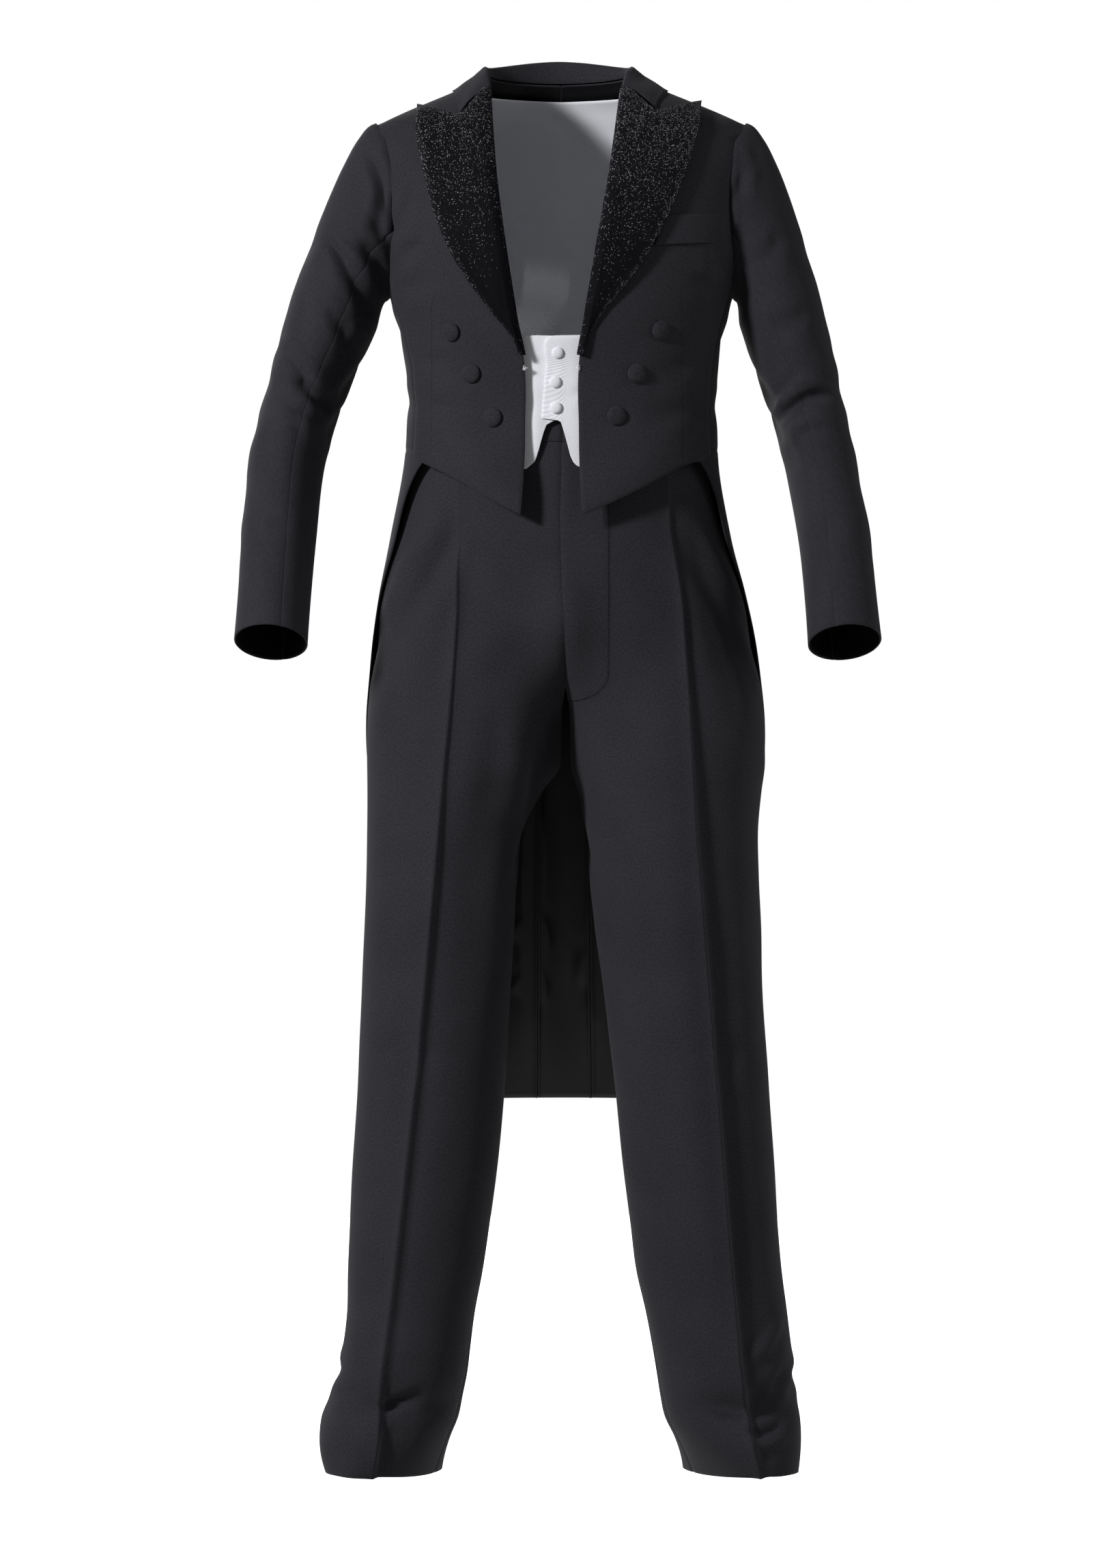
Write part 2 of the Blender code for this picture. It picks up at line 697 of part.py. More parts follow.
def collar():
    """The collar: a fall over the coat, the roll, and the stand inside it, round the neck."""
    columns = []
    back_turns = 5
    for side, order in ((RIGHT, -1), (LEFT, 1)):
        half = []
        for step in range(back_turns + 1):
            share = step / back_turns
            angle = BACK * (1 - share)
            foot = on_coat(side, angle, NECK_SEAM)
            foot.z = NECK_SEAM + COLLAR_FOOT_GAP
            roll = foot.copy()
            roll.z = blend(COLLAR_ROLL_BACK, COLLAR_ROLL_SIDE, ease(share))
            outward = Vector((roll.x, roll.y, 0)).normalized()
            fall = on_coat(side, angle, COLLAR_EDGE, COLLAR_EDGE_OUT)
            middle = on_coat(side, angle, COLLAR_MIDDLE, COLLAR_MIDDLE_OUT)
            half.append((foot, roll + outward * 0.002, middle, fall, outward))
        notch_x, notch_height = NOTCH[side]
        front_rows = 4
        for step in range(1, front_rows + 1):
            share = step / front_rows
            roll_height = blend(COLLAR_ROLL_SIDE - 0.007, COLLAR_ROLL_FRONT, share)
            roll_x = front_edge(side, roll_height)
            foot = on_coat_front(side, roll_x, min(roll_height, FRONT_TOP + 0.004))
            foot.z = roll_height
            roll = on_coat_front(side, roll_x - side * 0.0015, roll_height, 0.0055)
            roll.z = roll_height + 0.004 * (1 - share)
            fall_height = blend(COLLAR_EDGE, notch_height + COLLAR_NOTCH_GAP, share)
            ridge = COAT_FORM.at(COLLAR_EDGE)
            fall_x = blend(ridge.lean + side * ridge.half_width, notch_x, ease(share) ** 0.5)
            fall = on_coat_front(side, fall_x, fall_height, COLLAR_EDGE_OUT)
            outward = Vector((side, -1.2 * share, 0)).normalized()
            middle_x = blend(roll_x, fall_x, 0.5)
            middle = on_coat_front(side, middle_x, blend(roll_height, fall_height, 0.5), 0.0062)
            if step < 3:
                beside_neck = on_coat(side, 0, COLLAR_MIDDLE, COLLAR_MIDDLE_OUT)
                middle = middle.lerp(beside_neck, 0.5 - 0.25 * (step - 1))
            half.append((foot, roll, middle, fall, outward))
        columns.append(half if order == 1 else half[:0:-1])
    grid = []
    for foot, roll, middle, fall, outward in columns[0] + columns[1]:
        near = roll + (middle - roll).normalized() * 0.005 + outward * 0.0015
        inside = roll + (foot - roll).normalized() * 0.005 - outward * 0.0012
        grid.append([foot, inside, roll + Vector((0, 0, 0.0012)), near, middle, fall])
    cloth_piece("coat_collar", grid, COLLAR_WALL, WOOL, (0.0005, 0, 0.0006, 0.0006))


def sleeve_ring(side, step, angle):
    """A point of the sleeve below its cap: angle 0 is the front, a quarter turn the outer side."""
    row = SLEEVES[side].at(step)
    ahead = SLEEVES[side].at(min(step + 0.05, 6))
    behind = SLEEVES[side].at(max(step - 0.05, 0))
    along = Vector((ahead.x - behind.x, ahead.y - behind.y, ahead.z - behind.z)).normalized()
    outer = Vector((side, 0, 0))
    outer = (outer - along * outer.dot(along)).normalized()
    front = outer.cross(along) * side
    if front.y > 0:
        front = -front
    swell = 1.0
    for around, place, half_angle, half_rows, depth in SLEEVE_FOLDS:
        swell += bump((angle - around) / half_angle) * bump((step - place) / half_rows) * depth / row.half_side
    centre = Vector((row.x, row.y, row.z))
    spread = outer * (row.half_side * math.sin(angle)) + front * (row.half_depth * math.cos(angle))
    return centre + spread * swell, along


def armhole_point(side, angle):
    """A point of the armhole, in the sleeve's own angle; the shoulder tip is a quarter turn."""
    middle = 0.5 * (SHOULDER_TIP + ARMPIT)
    half = 0.5 * (SHOULDER_TIP - ARMPIT)
    height = middle + half * math.sin(angle)
    y = -ARMHOLE_HALF_DEPTH * math.cos(angle)
    return on_coat(side, angle_deep(y, min(height, SHOULDER_TIP - 0.0005)), height)


def sleeve_point(side, row, angle):
    """Rows 0 to SLEEVE_CAP_ROWS make the cap, from the armhole out and down to the arm."""
    if row > SLEEVE_CAP_ROWS:
        return sleeve_ring(side, (row - SLEEVE_CAP_ROWS) / SLEEVE_STEP_ROWS, angle)[0]
    start = armhole_point(side, angle)
    end, along = sleeve_ring(side, 0, angle)
    upper = 0.5 + 0.5 * math.sin(angle)
    radial = Vector((0, -math.cos(angle), math.sin(angle)))
    leave = Vector((side * 0.90, 0, -0.25 - 0.50 * upper)) + radial * (0.12 * upper)
    start = start + Vector((side, 0, 0)) * SLEEVE_START_GAP + radial * (0.0010 * upper)
    reach = (end - start).length
    leave = leave.normalized() * reach * blend(0.75, 0.45, upper)
    arrive = along * reach * blend(0.9, 1.05, upper)
    t = row / SLEEVE_CAP_ROWS
    point = start * (2 * t**3 - 3 * t**2 + 1) + leave * (t**3 - 2 * t**2 + t)
    return point + end * (3 * t**2 - 2 * t**3) + arrive * (t**3 - t**2)


def sleeves():
    rows = SLEEVE_CAP_ROWS + 6 * SLEEVE_STEP_ROWS
    spans = {
        "top": (SLEEVE_FRONT_SEAM, SLEEVE_BACK_SEAM, TOP_SLEEVE_COLUMNS),
        "under": (SLEEVE_BACK_SEAM - 2 * math.pi, SLEEVE_FRONT_SEAM, UNDER_SLEEVE_COLUMNS),
    }
    for side in (RIGHT, LEFT):
        for part, (start, end, columns) in spans.items():
            grid = []
            for row in range(rows + 1):
                angles = [blend(start, end, column / columns) for column in range(columns + 1)]
                grid.append([sleeve_point(side, row, angle) for angle in angles])
            gaps = (0.0006, 0.0006, 0, 0)
            cloth_piece(f"sleeve_{part}_{SIDE_NAMES[side]}", grid, SLEEVE_WALL, WOOL, gaps)


def button(name, spot, normal, size, material):
    """A covered button: a turned dome with a flat back."""
    radius = size / 2
    profile = (
        (0.0, 0.19),
        (0.55, 0.165),
        (0.88, 0.10),
        (1.0, 0.02),
        (0.92, -0.06),
        (0.0, -0.06),
    )
    points = [(radius * across, 0, radius * rise) for across, rise in profile]
    mesh = bpy.data.meshes.new(name)
    mesh.from_pydata(points, [(i, i + 1) for i in range(len(points) - 1)], [])
    obj = add_object(name, mesh, material)
    screw = obj.modifiers.new("turned", "SCREW")
    screw.steps = BUTTON_SIDES
    screw.render_steps = BUTTON_SIDES
    screw.use_merge_vertices = True
    screw.merge_threshold = 0.00001
    obj.rotation_euler = Vector(normal).to_track_quat("Z", "Y").to_euler()
    obj.location = spot
    return obj


def place_button(name, side, x, height, size, out, material):
    """Seats a button on the front of the coat's form, moved out."""
    near = on_coat_front(side, x, height, out)
    far = on_coat_front(side, x, height, out + 0.01)
    normal = far - near
    button(name, near, normal, size, material)


FRONT_BUTTONS = (
    # side, across, height
    (RIGHT, -0.1185, 1.3000),
    (RIGHT, -0.0970, 1.2555),
    (RIGHT, -0.0745, 1.2080),
    (LEFT, 0.1040, 1.3010),
    (LEFT, 0.0785, 1.2550),
    (LEFT, 0.0570, 1.2095),
)
WAISTCOAT_BUTTONS = ((-0.0052, 1.2755), (-0.0081, 1.2450), (-0.0074, 1.2180))


def buttons():
    for number, (side, x, height) in enumerate(FRONT_BUTTONS):
        name = f"front_button_{SIDE_NAMES[side]}_{number % 3 + 1}"
        place_button(name, side, x, height, FRONT_BUTTON, 0.0022, WOOL)
    for number, (x, height) in enumerate(WAISTCOAT_BUTTONS):
        out = WAISTCOAT_OVERLAP - WAISTCOAT_INSET + 0.0018
        place_button(f"waistcoat_button_{number + 1}", LEFT, x, height, WAISTCOAT_BUTTON, out, PIQUE)
    for side in (RIGHT, LEFT):
        spot, along = sleeve_ring(side, CUFF_BUTTON_STEP, SLEEVE_BACK_SEAM - 0.30)
        centre = SLEEVES[side].at(CUFF_BUTTON_STEP)
        normal = spot - Vector((centre.x, centre.y, centre.z))
        normal = (normal - along * normal.dot(along)).normalized()
        button(f"cuff_button_{SIDE_NAMES[side]}", spot + normal * 0.0022, normal, CUFF_BUTTON, WOOL)


# The breast welt's top and bottom edge, between its inner and outer ends
WELT_EDGES = (
    # inner across, inner height, outer across, outer height
    (0.1105, 1.4225, 0.1660, 1.4285),
    (0.0975, 1.3905, 0.1635, 1.3975),
)
WELT_OUT = 0.0028
WELT_WALL = 0.0014


def breast_welt():
    """The welt of the breast pocket, a layer on the left front."""
    top, bottom = WELT_EDGES
    columns = 5
    grid = []
    for level in range(3):
        inner_x, inner_height, outer_x, outer_height = (
            blend(upper, lower, level / 2) for upper, lower in zip(top, bottom)
        )
        row = []
        for column in range(columns + 1):
            share = column / columns
            x = blend(inner_x, outer_x, share)
            row.append(on_coat_front(LEFT, x, blend(inner_height, outer_height, share), WELT_OUT))
        grid.append(row)
    cloth_piece("breast_welt", grid, WELT_WALL, WOOL)


def wire_piece(name, points):
    curve = bpy.data.curves.new(name, "CURVE")
    curve.dimensions = "3D"
    curve.bevel_depth = WIRE / 2
    curve.bevel_resolution = 1
    curve.use_fill_caps = True
    spline = curve.splines.new("POLY")
    spline.points.add(len(points) - 1)
    for target, point in zip(spline.points, points):
        target.co = (*point, 1)
    return add_object(name, curve, STEEL)


def hook_and_eye():
    """The small hook on the right front edge and the eye on the left one, not fastened."""
    height = 1.2600
    for side, name in ((RIGHT, "front_hook"), (LEFT, "front_eye")):
        edge = front_edge(side, height)
        points = []
        for step in range(11):
            turn = 1.5 * math.pi * step / 10 - 0.75 * math.pi
            x = edge + side * (0.0008 - 0.0024 * math.cos(turn))
            point = on_coat_front(side, x, height + 0.0026 * math.sin(turn), 0.0022)
            points.append(point)
        wire_piece(name, points)


def waistcoat_edge_x(side, height):
    row = PLACKET.at(height) if height <= WAISTCOAT_EDGE else WAISTCOAT_OPENING.at(height)
    return row.left if side == LEFT else row.right


def waistcoat_side_angle(side, height, half):
    """Side seam, then the waistcoat's own armhole, then the shoulder seam."""
    if height <= 1.335 or height >= 1.562:
        return 0.0
    share = ease((height - 1.335) / 0.012)
    across = COAT_FORM.at(height).lean + side * WAISTCOAT_ARMHOLE.at(height).across
    return angle_across(side, across, height, half) * share


WAISTCOAT_ROWS = (
    # inner height, outer height
    (1.205, 1.192),
    (1.2915, 1.290),
    (1.2915, 1.335),
    (1.345, 1.347),
    (1.400, 1.370),
    (1.455, 1.420),
    (1.520, 1.500),
    (1.562, 1.562),
    (1.578, 1.578),
)
WAISTCOAT_SHARES = (0, 0.05, 0.10, 0.16, 0.24, 0.36, 0.52, 0.68, 0.84, 1)
# The pointed lower edge of each front
WAISTCOAT_POINT = {
    RIGHT: Sections("share drop", (0.0, 0.0), (0.06, 0.012), (0.14, 0.046), (0.30, 0.030), (1.0, 0.0)),
    LEFT: Sections("share drop", (0.0, -0.002), (0.08, 0.003), (0.19, 0.044), (0.34, 0.030), (1.0, 0.0)),
}


def waistcoat_fronts():
    for side in (RIGHT, LEFT):
        grid = []
        rows = split_rows(WAISTCOAT_ROWS, 0.034)
        for level, (inner, outer) in enumerate(rows):
            beyond_edge = inner == WAISTCOAT_EDGE and outer > 1.2901
            opening = WAISTCOAT_OPENING.at(inner)
            x = waistcoat_edge_x(side, inner)
            if beyond_edge:
                along_edge = (outer - 1.290) / (1.335 - 1.290)
                corner = opening.left if side == LEFT else opening.right
                x = blend(x, corner, along_edge)
            start = angle_across(side, x, inner)
            end = waistcoat_side_angle(side, outer, -1)
            row = []
            for share in WAISTCOAT_SHARES:
                low = ease(1 - (inner - 1.205) / 0.05)
                drop = WAISTCOAT_POINT[side].at(share).drop * low
                height = blend(inner, outer, share) - drop
                lap = 0.0
                if side == LEFT and not beyond_edge:
                    lap = WAISTCOAT_OVERLAP * (1 - ease(share / 0.30)) * ease((1.33 - inner) / 0.03)
                row.append(on_coat(side, blend(start, end, share), height, lap - WAISTCOAT_INSET))
            grid.append(row)
        gaps = (0, SEAM_HALF_GAP, 0, SEAM_HALF_GAP)
        cloth_piece(f"waistcoat_front_{SIDE_NAMES[side]}", grid, WAISTCOAT_WALL, PIQUE, gaps)


def waistcoat_back():
    heights = (1.192, 1.235, 1.285, 1.335, 1.347, 1.370, 1.420, 1.465, 1.510, 1.545, 1.562, 1.578)
    grid = []
    for height in heights:
        start = waistcoat_side_angle(LEFT, height, 1)
        end = math.pi - waistcoat_side_angle(RIGHT, height, 1)
        row = [on_coat(LEFT, blend(start, end, column / 12), height, -WAISTCOAT_INSET) for column in range(13)]
        grid.append(row)
    gaps = (SEAM_HALF_GAP, SEAM_HALF_GAP, 0, SEAM_HALF_GAP)
    cloth_piece("waistcoat_back", grid, WAISTCOAT_WALL, PIQUE, gaps)


def leg_point(side, angle, height):
    """A point of one leg: angle 0 is the outer side, a quarter turn back, half a turn inside."""
    row = LEGS[side].at(height)
    across = math.cos(angle)
    along = math.sin(angle)
    power = 2 / LEG_SQUARENESS
    depth = row.back if along > 0 else row.front
    ridge = CREASE_RIDGE * bump((abs(angle) - BACK) / 0.22)
    swell = 0.0
    for around, place, half_angle, half_height, tilt, rise in LEG_FOLDS[side]:
        turned = (angle - around + math.pi) % (2 * math.pi) - math.pi
        swell += bump(turned / half_angle) * bump((height - place - tilt * turned) / half_height) * rise
    local_x = side * (row.half_width + swell) * math.copysign(abs(across) ** power, across)
    local_y = (depth + ridge + swell) * math.copysign(abs(along) ** power, along)
    turn = math.radians(row.turn) * side
    x = row.centre + local_x * math.cos(turn) - local_y * math.sin(turn)
    y = row.middle + local_x * math.sin(turn) + local_y * math.cos(turn)
    return Vector((x, y, height))


def trouser_point(side, half, share, height):
    """half is -1 for the front panel and 1 for the back; share runs from the inside to the side."""
    leg = leg_point(side, half * math.pi * (1 - share), max(height, HEM - 0.02))
    if height <= CROTCH:
        return leg
    hip_angle = half * BACK * (1 - share**HIP_SPREAD)
    hip = on_coat(side, hip_angle, height, -TROUSER_INSET.at(height).inset)
    weight = ease((height - CROTCH) / (HIP_BLEND_TOP - CROTCH))
    return leg.lerp(hip, weight)


def trouser_panels():
    for side in (RIGHT, LEFT):
        for half, part in ((-1, "front"), (1, "back")):
            grid = []
            for height in TROUSER_HEIGHTS:
                row = []
                for column in range(TROUSER_COLUMNS + 1):
                    share = column / TROUSER_COLUMNS
                    rise = -half * HEM_SLOPE * math.sin(math.pi * share) * ease((0.16 - height) / 0.10)
                    row.append(trouser_point(side, half, share, height + rise))
                grid.append(row)
            gaps = (0.0005, 0.0005, SEAM_HALF_GAP, 0)
            name = f"trouser_{part}_{SIDE_NAMES[side]}"
            cloth_piece(name, grid, TROUSER_WALL, WOOL, gaps)


def waistbands():
    for side in (RIGHT, LEFT):
        grid = []
        for row in range(3):
            height = blend(BAND_TOP, BAND_BOTTOM, row / 2)
            line = []
            for column in range(17):
                angle = blend(FRONT, BACK, column / 16)
                line.append(on_coat(side, angle, height, -TROUSER_INSET.at(height).inset))
            grid.append(line)
        gaps = (SEAM_HALF_GAP, SEAM_HALF_GAP, 0, SEAM_HALF_GAP)
        cloth_piece(f"waistband_{SIDE_NAMES[side]}", grid, BAND_WALL, WOOL, gaps)


coat_fronts()
side_bodies()
coat_backs()
tail_skirts()
lapels()
collar()
sleeves()
breast_welt()
buttons()
hook_and_eye()
waistcoat_fronts()
waistcoat_back()
trouser_panels()
waistbands()
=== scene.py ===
"""Looks of the worn tailcoat suit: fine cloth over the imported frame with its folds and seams,
covered buttons, hook and eye, stitches, their materials and a pale studio stage.

Metres, +Z up, with the origin at the neck, 1.56 m above the floor. The tables of folds and
outlines are in millimetres. Heights in the tables are above the floor, and right means the
wearer's right, at -X.
"""

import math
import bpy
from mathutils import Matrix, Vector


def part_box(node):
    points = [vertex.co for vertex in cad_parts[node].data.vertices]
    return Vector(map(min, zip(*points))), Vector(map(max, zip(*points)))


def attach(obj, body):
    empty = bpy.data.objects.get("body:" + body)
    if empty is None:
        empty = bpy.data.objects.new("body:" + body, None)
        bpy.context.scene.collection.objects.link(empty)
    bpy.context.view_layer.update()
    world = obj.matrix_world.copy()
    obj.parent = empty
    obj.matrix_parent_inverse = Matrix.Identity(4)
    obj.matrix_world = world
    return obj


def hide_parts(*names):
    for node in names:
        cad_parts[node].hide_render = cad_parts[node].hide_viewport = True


bl_info = {
    "name": "Tailcoat Suit",
    "version": (1, 0, 0),
    "blender": (4, 5, 0),
    "location": "3D View > Sidebar > Tailcoat",
    "description": "Dresses the packed tailcoat suit in fine cloth, with its buttons and stage",
    "category": "Object",
}

from dataclasses import dataclass

import bpy
import numpy as np
from mathutils import Vector

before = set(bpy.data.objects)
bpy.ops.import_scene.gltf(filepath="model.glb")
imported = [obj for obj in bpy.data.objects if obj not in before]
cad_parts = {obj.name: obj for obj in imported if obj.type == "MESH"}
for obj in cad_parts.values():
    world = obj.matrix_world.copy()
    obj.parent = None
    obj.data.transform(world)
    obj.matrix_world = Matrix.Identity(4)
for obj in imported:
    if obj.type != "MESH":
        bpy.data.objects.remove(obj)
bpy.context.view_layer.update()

HOLD_HEIGHT = 1.560
COAT_WALL = 0.0020
LAPEL_WALL = 0.0016
COLLAR_WALL = 0.0018
SLEEVE_WALL = 0.0018
WELT_WALL = 0.0014
WAISTCOAT_WALL = 0.0016
TROUSER_WALL = 0.0016
BAND_WALL = 0.0022
SIDES = ("right", "left")

# How far a wall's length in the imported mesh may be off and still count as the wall, and how close
# points are that count as one
WALL_SLACK = 0.000003
WELD = 0.00001
# The least share of its width times its length that a cut's area is stated as
LEAST_AREA = 0.31
# How far the collar's outer edge is pressed down, and over what width
COLLAR_PRESS = 0.0024
COLLAR_WIDTH = 0.012
# The sleeve heads run on under the armhole's edge
SLEEVE_TUCK = {"sleeve_top": 0.0056, "sleeve_under": 0.0115}
SLEEVE_DROP = 0.0026
# The pressed creases of the trousers: height and width of the ridge, the height above the floor
# where it starts to fade, over what way, and to what share
PRESSED_CREASE = 0.0044
PRESSED_WIDTH = 0.0062
PRESSED_TOP = 1.10
PRESSED_FADE = 0.12
PRESSED_LEAST = 0.35
# The sharp turn on the left of the front creases: its top right and left, the way that it needs to
# open, its width at the hip and low down, the heights of both, and its slope
CREASE_OPENS = {"right": 1.095, "left": 1.150}
CREASE_OPENING = 0.05
CREASE_TURN = 0.0024
CREASE_TURN_LOW = 0.0085
CREASE_HIP = 1.05
CREASE_LOW = 0.55
CREASE_DROP = 0.80
# The front creases keep this share of their relief at the hem, and have all of it this far above
HEM_HEIGHT = 0.050
HEM_REACH = 0.045
HEM_SHARE = 0.30
# The back panels' column that the crease runs along, how close the next points lie to a crease at
# most, and the share of a step that they keep to on the back and front panels
CREASE_COLUMN = 4
CREASE_CLOSE = 0.0013
BACK_SHARE = 0.3
FRONT_SHARE = 0.27
# The fly's topstitched line: across, top, start of its curve, and the curve's end, how far the
# fly's layer stands up inside it, and how far in and up the edge of that layer lies, where a dark
# half-sunk thread paints the shade of the groove
FLY_LINE = 0.0500
FLY_TOP = 1.1650
FLY_TURN = 0.9345
FLY_FOOT = (0.0074, 0.9044)
FLY_RISE = 0.0007
FLY_INSET = (0.0010, 0.0004)


# Folds in millimetres, under the side that they are seen from: start across, start height, end
# across, end height, bend, width, depth. A trough has a depth above 0 and a ridge one below 0.
# Seen from the left or right, across is depth.
COAT_FOLDS = {
    "front": (
        (-164, 1452, -188, 1408, 4, 8, 3.4),
        (-149.9, 1397.6, -184, 1370, -3, 8.5, 3.1),
        (-130, 1355, -183, 1348, -3, 11, 2.2),
        (162, 1402, 183, 1360, -4, 9, 2.8),
        (138, 1356, 178, 1338, 4, 11, 2.3),
        (-146, 1276, -100, 1244, 4, 12, 1.9),
        (-148, 1226, -98, 1210, 3, 11, 1.6),
        (144, 1270, 94, 1242, -4, 12, 1.9),
        (142, 1220, 86, 1202, -3, 11, 1.6),
    ),
    "back": (
        (-150, 1470, -115, 1370, 8, 15, 2.8),
        (148, 1465, 118, 1365, -8, 15, 2.6),
        (-125, 1450, -90, 1390, 6, 12, -1.6),
        (-130, 1250, -30, 1226, 6, 12, 2.2),
        (130, 1246, 35, 1230, -5, 12, 2),
        (-110, 1218, -40, 1206, -4, 10, 1.6),
        (115, 1216, 40, 1204, 4, 10, 1.6),
        (-90, 1050, -70, 650, 6, 24, -3),
        (88, 1040, 72, 640, -6, 24, -2.8),
        (-45, 880, -35, 490, 4, 20, 2.6),
        (52, 860, 43, 500, -4, 20, 2.4),
        (-70, 642, -12, 633, 4, 12, 1.4),
        (70, 605, 15, 597, -3, 12, 1.4),
        (-65, 580, -15, 574, 3, 10, 1.2),
    ),
    "left": (
        (-30, 1316, 60, 1270, -4, 13, 2),
        (35, 1248, -45, 1216, 4, 11, 1.8),
    ),
    "right": (
        (-30, 1320, 60, 1275, 4, 13, 2),
        (30, 1250, -50, 1220, 4, 11, 1.8),
    ),
}
SLEEVE_FOLDS = {
    "right": {
        "front": (
            (-209.5, 1500, -191.5, 1425, 6, 7.5, 6.1),
            (-206.6, 1427, -182.8, 1376, 5, 8, 4.3),
            (-219, 1402, -189, 1356, 4, 8, 3.8),
            (-256, 1408, -209, 1323, 4, 7.5, 6.2),
            (-254, 1326, -232, 1296, 3, 8, 3.5),
            (-230, 1312, -214, 1288, 2, 8, -2.3),
            (-313, 1296, -274, 1242, 4, 7, 5.5),
            (-288, 1250, -246, 1214, 3, 7, 6.2),
            (-286, 1224, -253, 1188, 3, 7.5, 3.6),
            (-289, 1235, -266, 1192, 4, 8, -2.9),
            (-326, 1120, -302, 1082, 3, 12, 2),
        ),
        "back": (
            (-255, 1370, -215, 1330, 5, 11, 3),
            (-290, 1280, -250, 1250, -4, 11, 3),
            (-300, 1230, -260, 1200, 4, 11, 2.8),
        ),
        "left": (
            (35, 1300, -30, 1235, 5, 10, 3),
            (30, 1250, -35, 1190, 5, 10, 3),
        ),
        "right": (
            (25, 1430, -30, 1390, 4, 12, 1),
            (50, 1320, -10, 1290, 4, 11, 1.2),
            (45, 1270, -30, 1245, -4, 11, 1.4),
            (20, 1220, -50, 1195, 4, 11, 1.2),
            (-10, 1090, -80, 1065, 4, 13, 0.7),
        ),
    },
    "left": {
        "front": (
            (193.5, 1502, 187, 1446, 4, 7.5, 4.3),
            (201, 1512, 199.6, 1469, -3, 7, -1.7),
            (235, 1410, 209, 1376, 4, 10, 2.6),
            (264, 1330, 228, 1304, 4, 11, 2.6),
            (229, 1204, 290, 1238, 9, 6, 6.7),
            (233, 1219, 286, 1250, 9, 8, -4.1),
            (231.6, 1208, 246.5, 1146.3, 4, 8, 3.5),
            (256, 1190, 290, 1200, 5, 8, 2.3),
            (295, 1100, 270, 1065, -3, 13, 2),
        ),
        "back": (
            (250, 1365, 210, 1325, 5, 11, 2.8),
            (285, 1275, 245, 1245, -4, 11, 3.2),
            (292, 1225, 255, 1195, 4, 11, 2.6),
        ),
        "left": (
            (25, 1420, -30, 1380, 4, 12, 1),
            (50, 1310, -15, 1280, 4, 11, 1.2),
            (45, 1260, -35, 1235, -4, 10, 1.5),
            (25, 1215, -45, 1190, 4, 11, 1.2),
            (-10, 1080, -80, 1055, 4, 13, 0.7),
        ),
        "right": (
            (35, 1295, -30, 1230, 5, 10, 3),
            (30, 1245, -35, 1185, 5, 10, 3),
        ),
    },
}
TROUSER_FOLDS = {
    "right": {
        "front": (
            (-115, 1090, -198, 960, 4, 14, 7.4),
            (-125, 1115, -186, 1035, 4, 12, -2.2),
            (-115, 1030, -190, 890, 6, 16, -2),
            (-50, 900, -64, 560, 0, 19, -5.2),
            (-25, 885, -38, 630, 0, 9, 4.8),
            (4, 1045, 2, 900, 0, 28, -5.8),
            (-6, 900, -19, 810, -2, 8, 4),
            (-201, 138.5, -148, 156, -4, 6, 4),
            (-198, 128, -150, 143, -4, 8, -2.2),
            (-248, 145, -220, 150, 3, 8, 2.6),
            (-189.5, 113.1, -160, 98.5, 3, 9, 1.8),
            (-190, 540, -150, 500, 4, 20, 2),
        ),
        "back": (
            (-50, 845, -170, 880, 8, 16, 3.4),
            (-60, 805, -160, 835, 8, 15, 2.6),
            (-110, 560, -200, 540, 6, 15, 2.6),
            (-125, 505, -205, 495, -5, 15, 2.2),
        ),
        "left": ((40, 800, -50, 720, 6, 15, 2.6),),
        "right": (
            (-50, 1000, 30, 920, 6, 18, 2.4),
            (-30, 170, 50, 150, 4, 10, 3),
        ),
    },
    "left": {
        "front": (
            (130, 1080, 202, 915, 6, 16, 4.4),
            (148, 1090, 198, 1020, -3, 9, -2.2),
            (155, 1010, 206, 880, 4, 9, -1.8),
            (4, 1045, 2, 900, 0, 28, -5.8),
            (19, 870, 4, 720, 4, 11, 3),
            (42, 890, 36, 730, 4, 13, -1.6),
            (164, 130, 198.5, 123, -2, 4.5, 3.4),
            (198, 115, 244, 119, -6, 6.5, 5),
            (201, 104, 244, 108, -6, 8, -2.8),
            (238, 230, 203, 189, 3, 8, -3),
            (247, 180, 204, 135, 3, 8.5, 3.4),
            (231, 160, 204, 138, 3, 7, -2.2),
            (150, 535, 190, 505, 4, 20, 2),
        ),
        "back": (
            (45, 840, 165, 870, -8, 16, 3.4),
            (58, 798, 155, 825, -8, 15, 2.6),
            (105, 555, 195, 535, -6, 15, 2.6),
            (120, 495, 200, 485, 5, 15, 2.2),
        ),
        "left": (
            (-50, 1010, 35, 930, -6, 18, 2.4),
            (-35, 165, 45, 145, 4, 10, 3),
        ),
        "right": ((40, 790, -50, 705, 6, 15, 2.6),),
    },
}
WAISTCOAT_FOLDS = {
    "front": (
        (-30, 1270, -6, 1256, 2, 5, 0.7),
        (22, 1240, -2, 1226, 2, 5, 0.6),
        (-90, 1230, 0, 1215, 3, 9, 0.9),
    ),
    "back": (
        (-90, 1240, 70, 1230, 4, 11, 1.4),
        (-70, 1270, 90, 1280, -4, 11, 1.2),
    ),
}
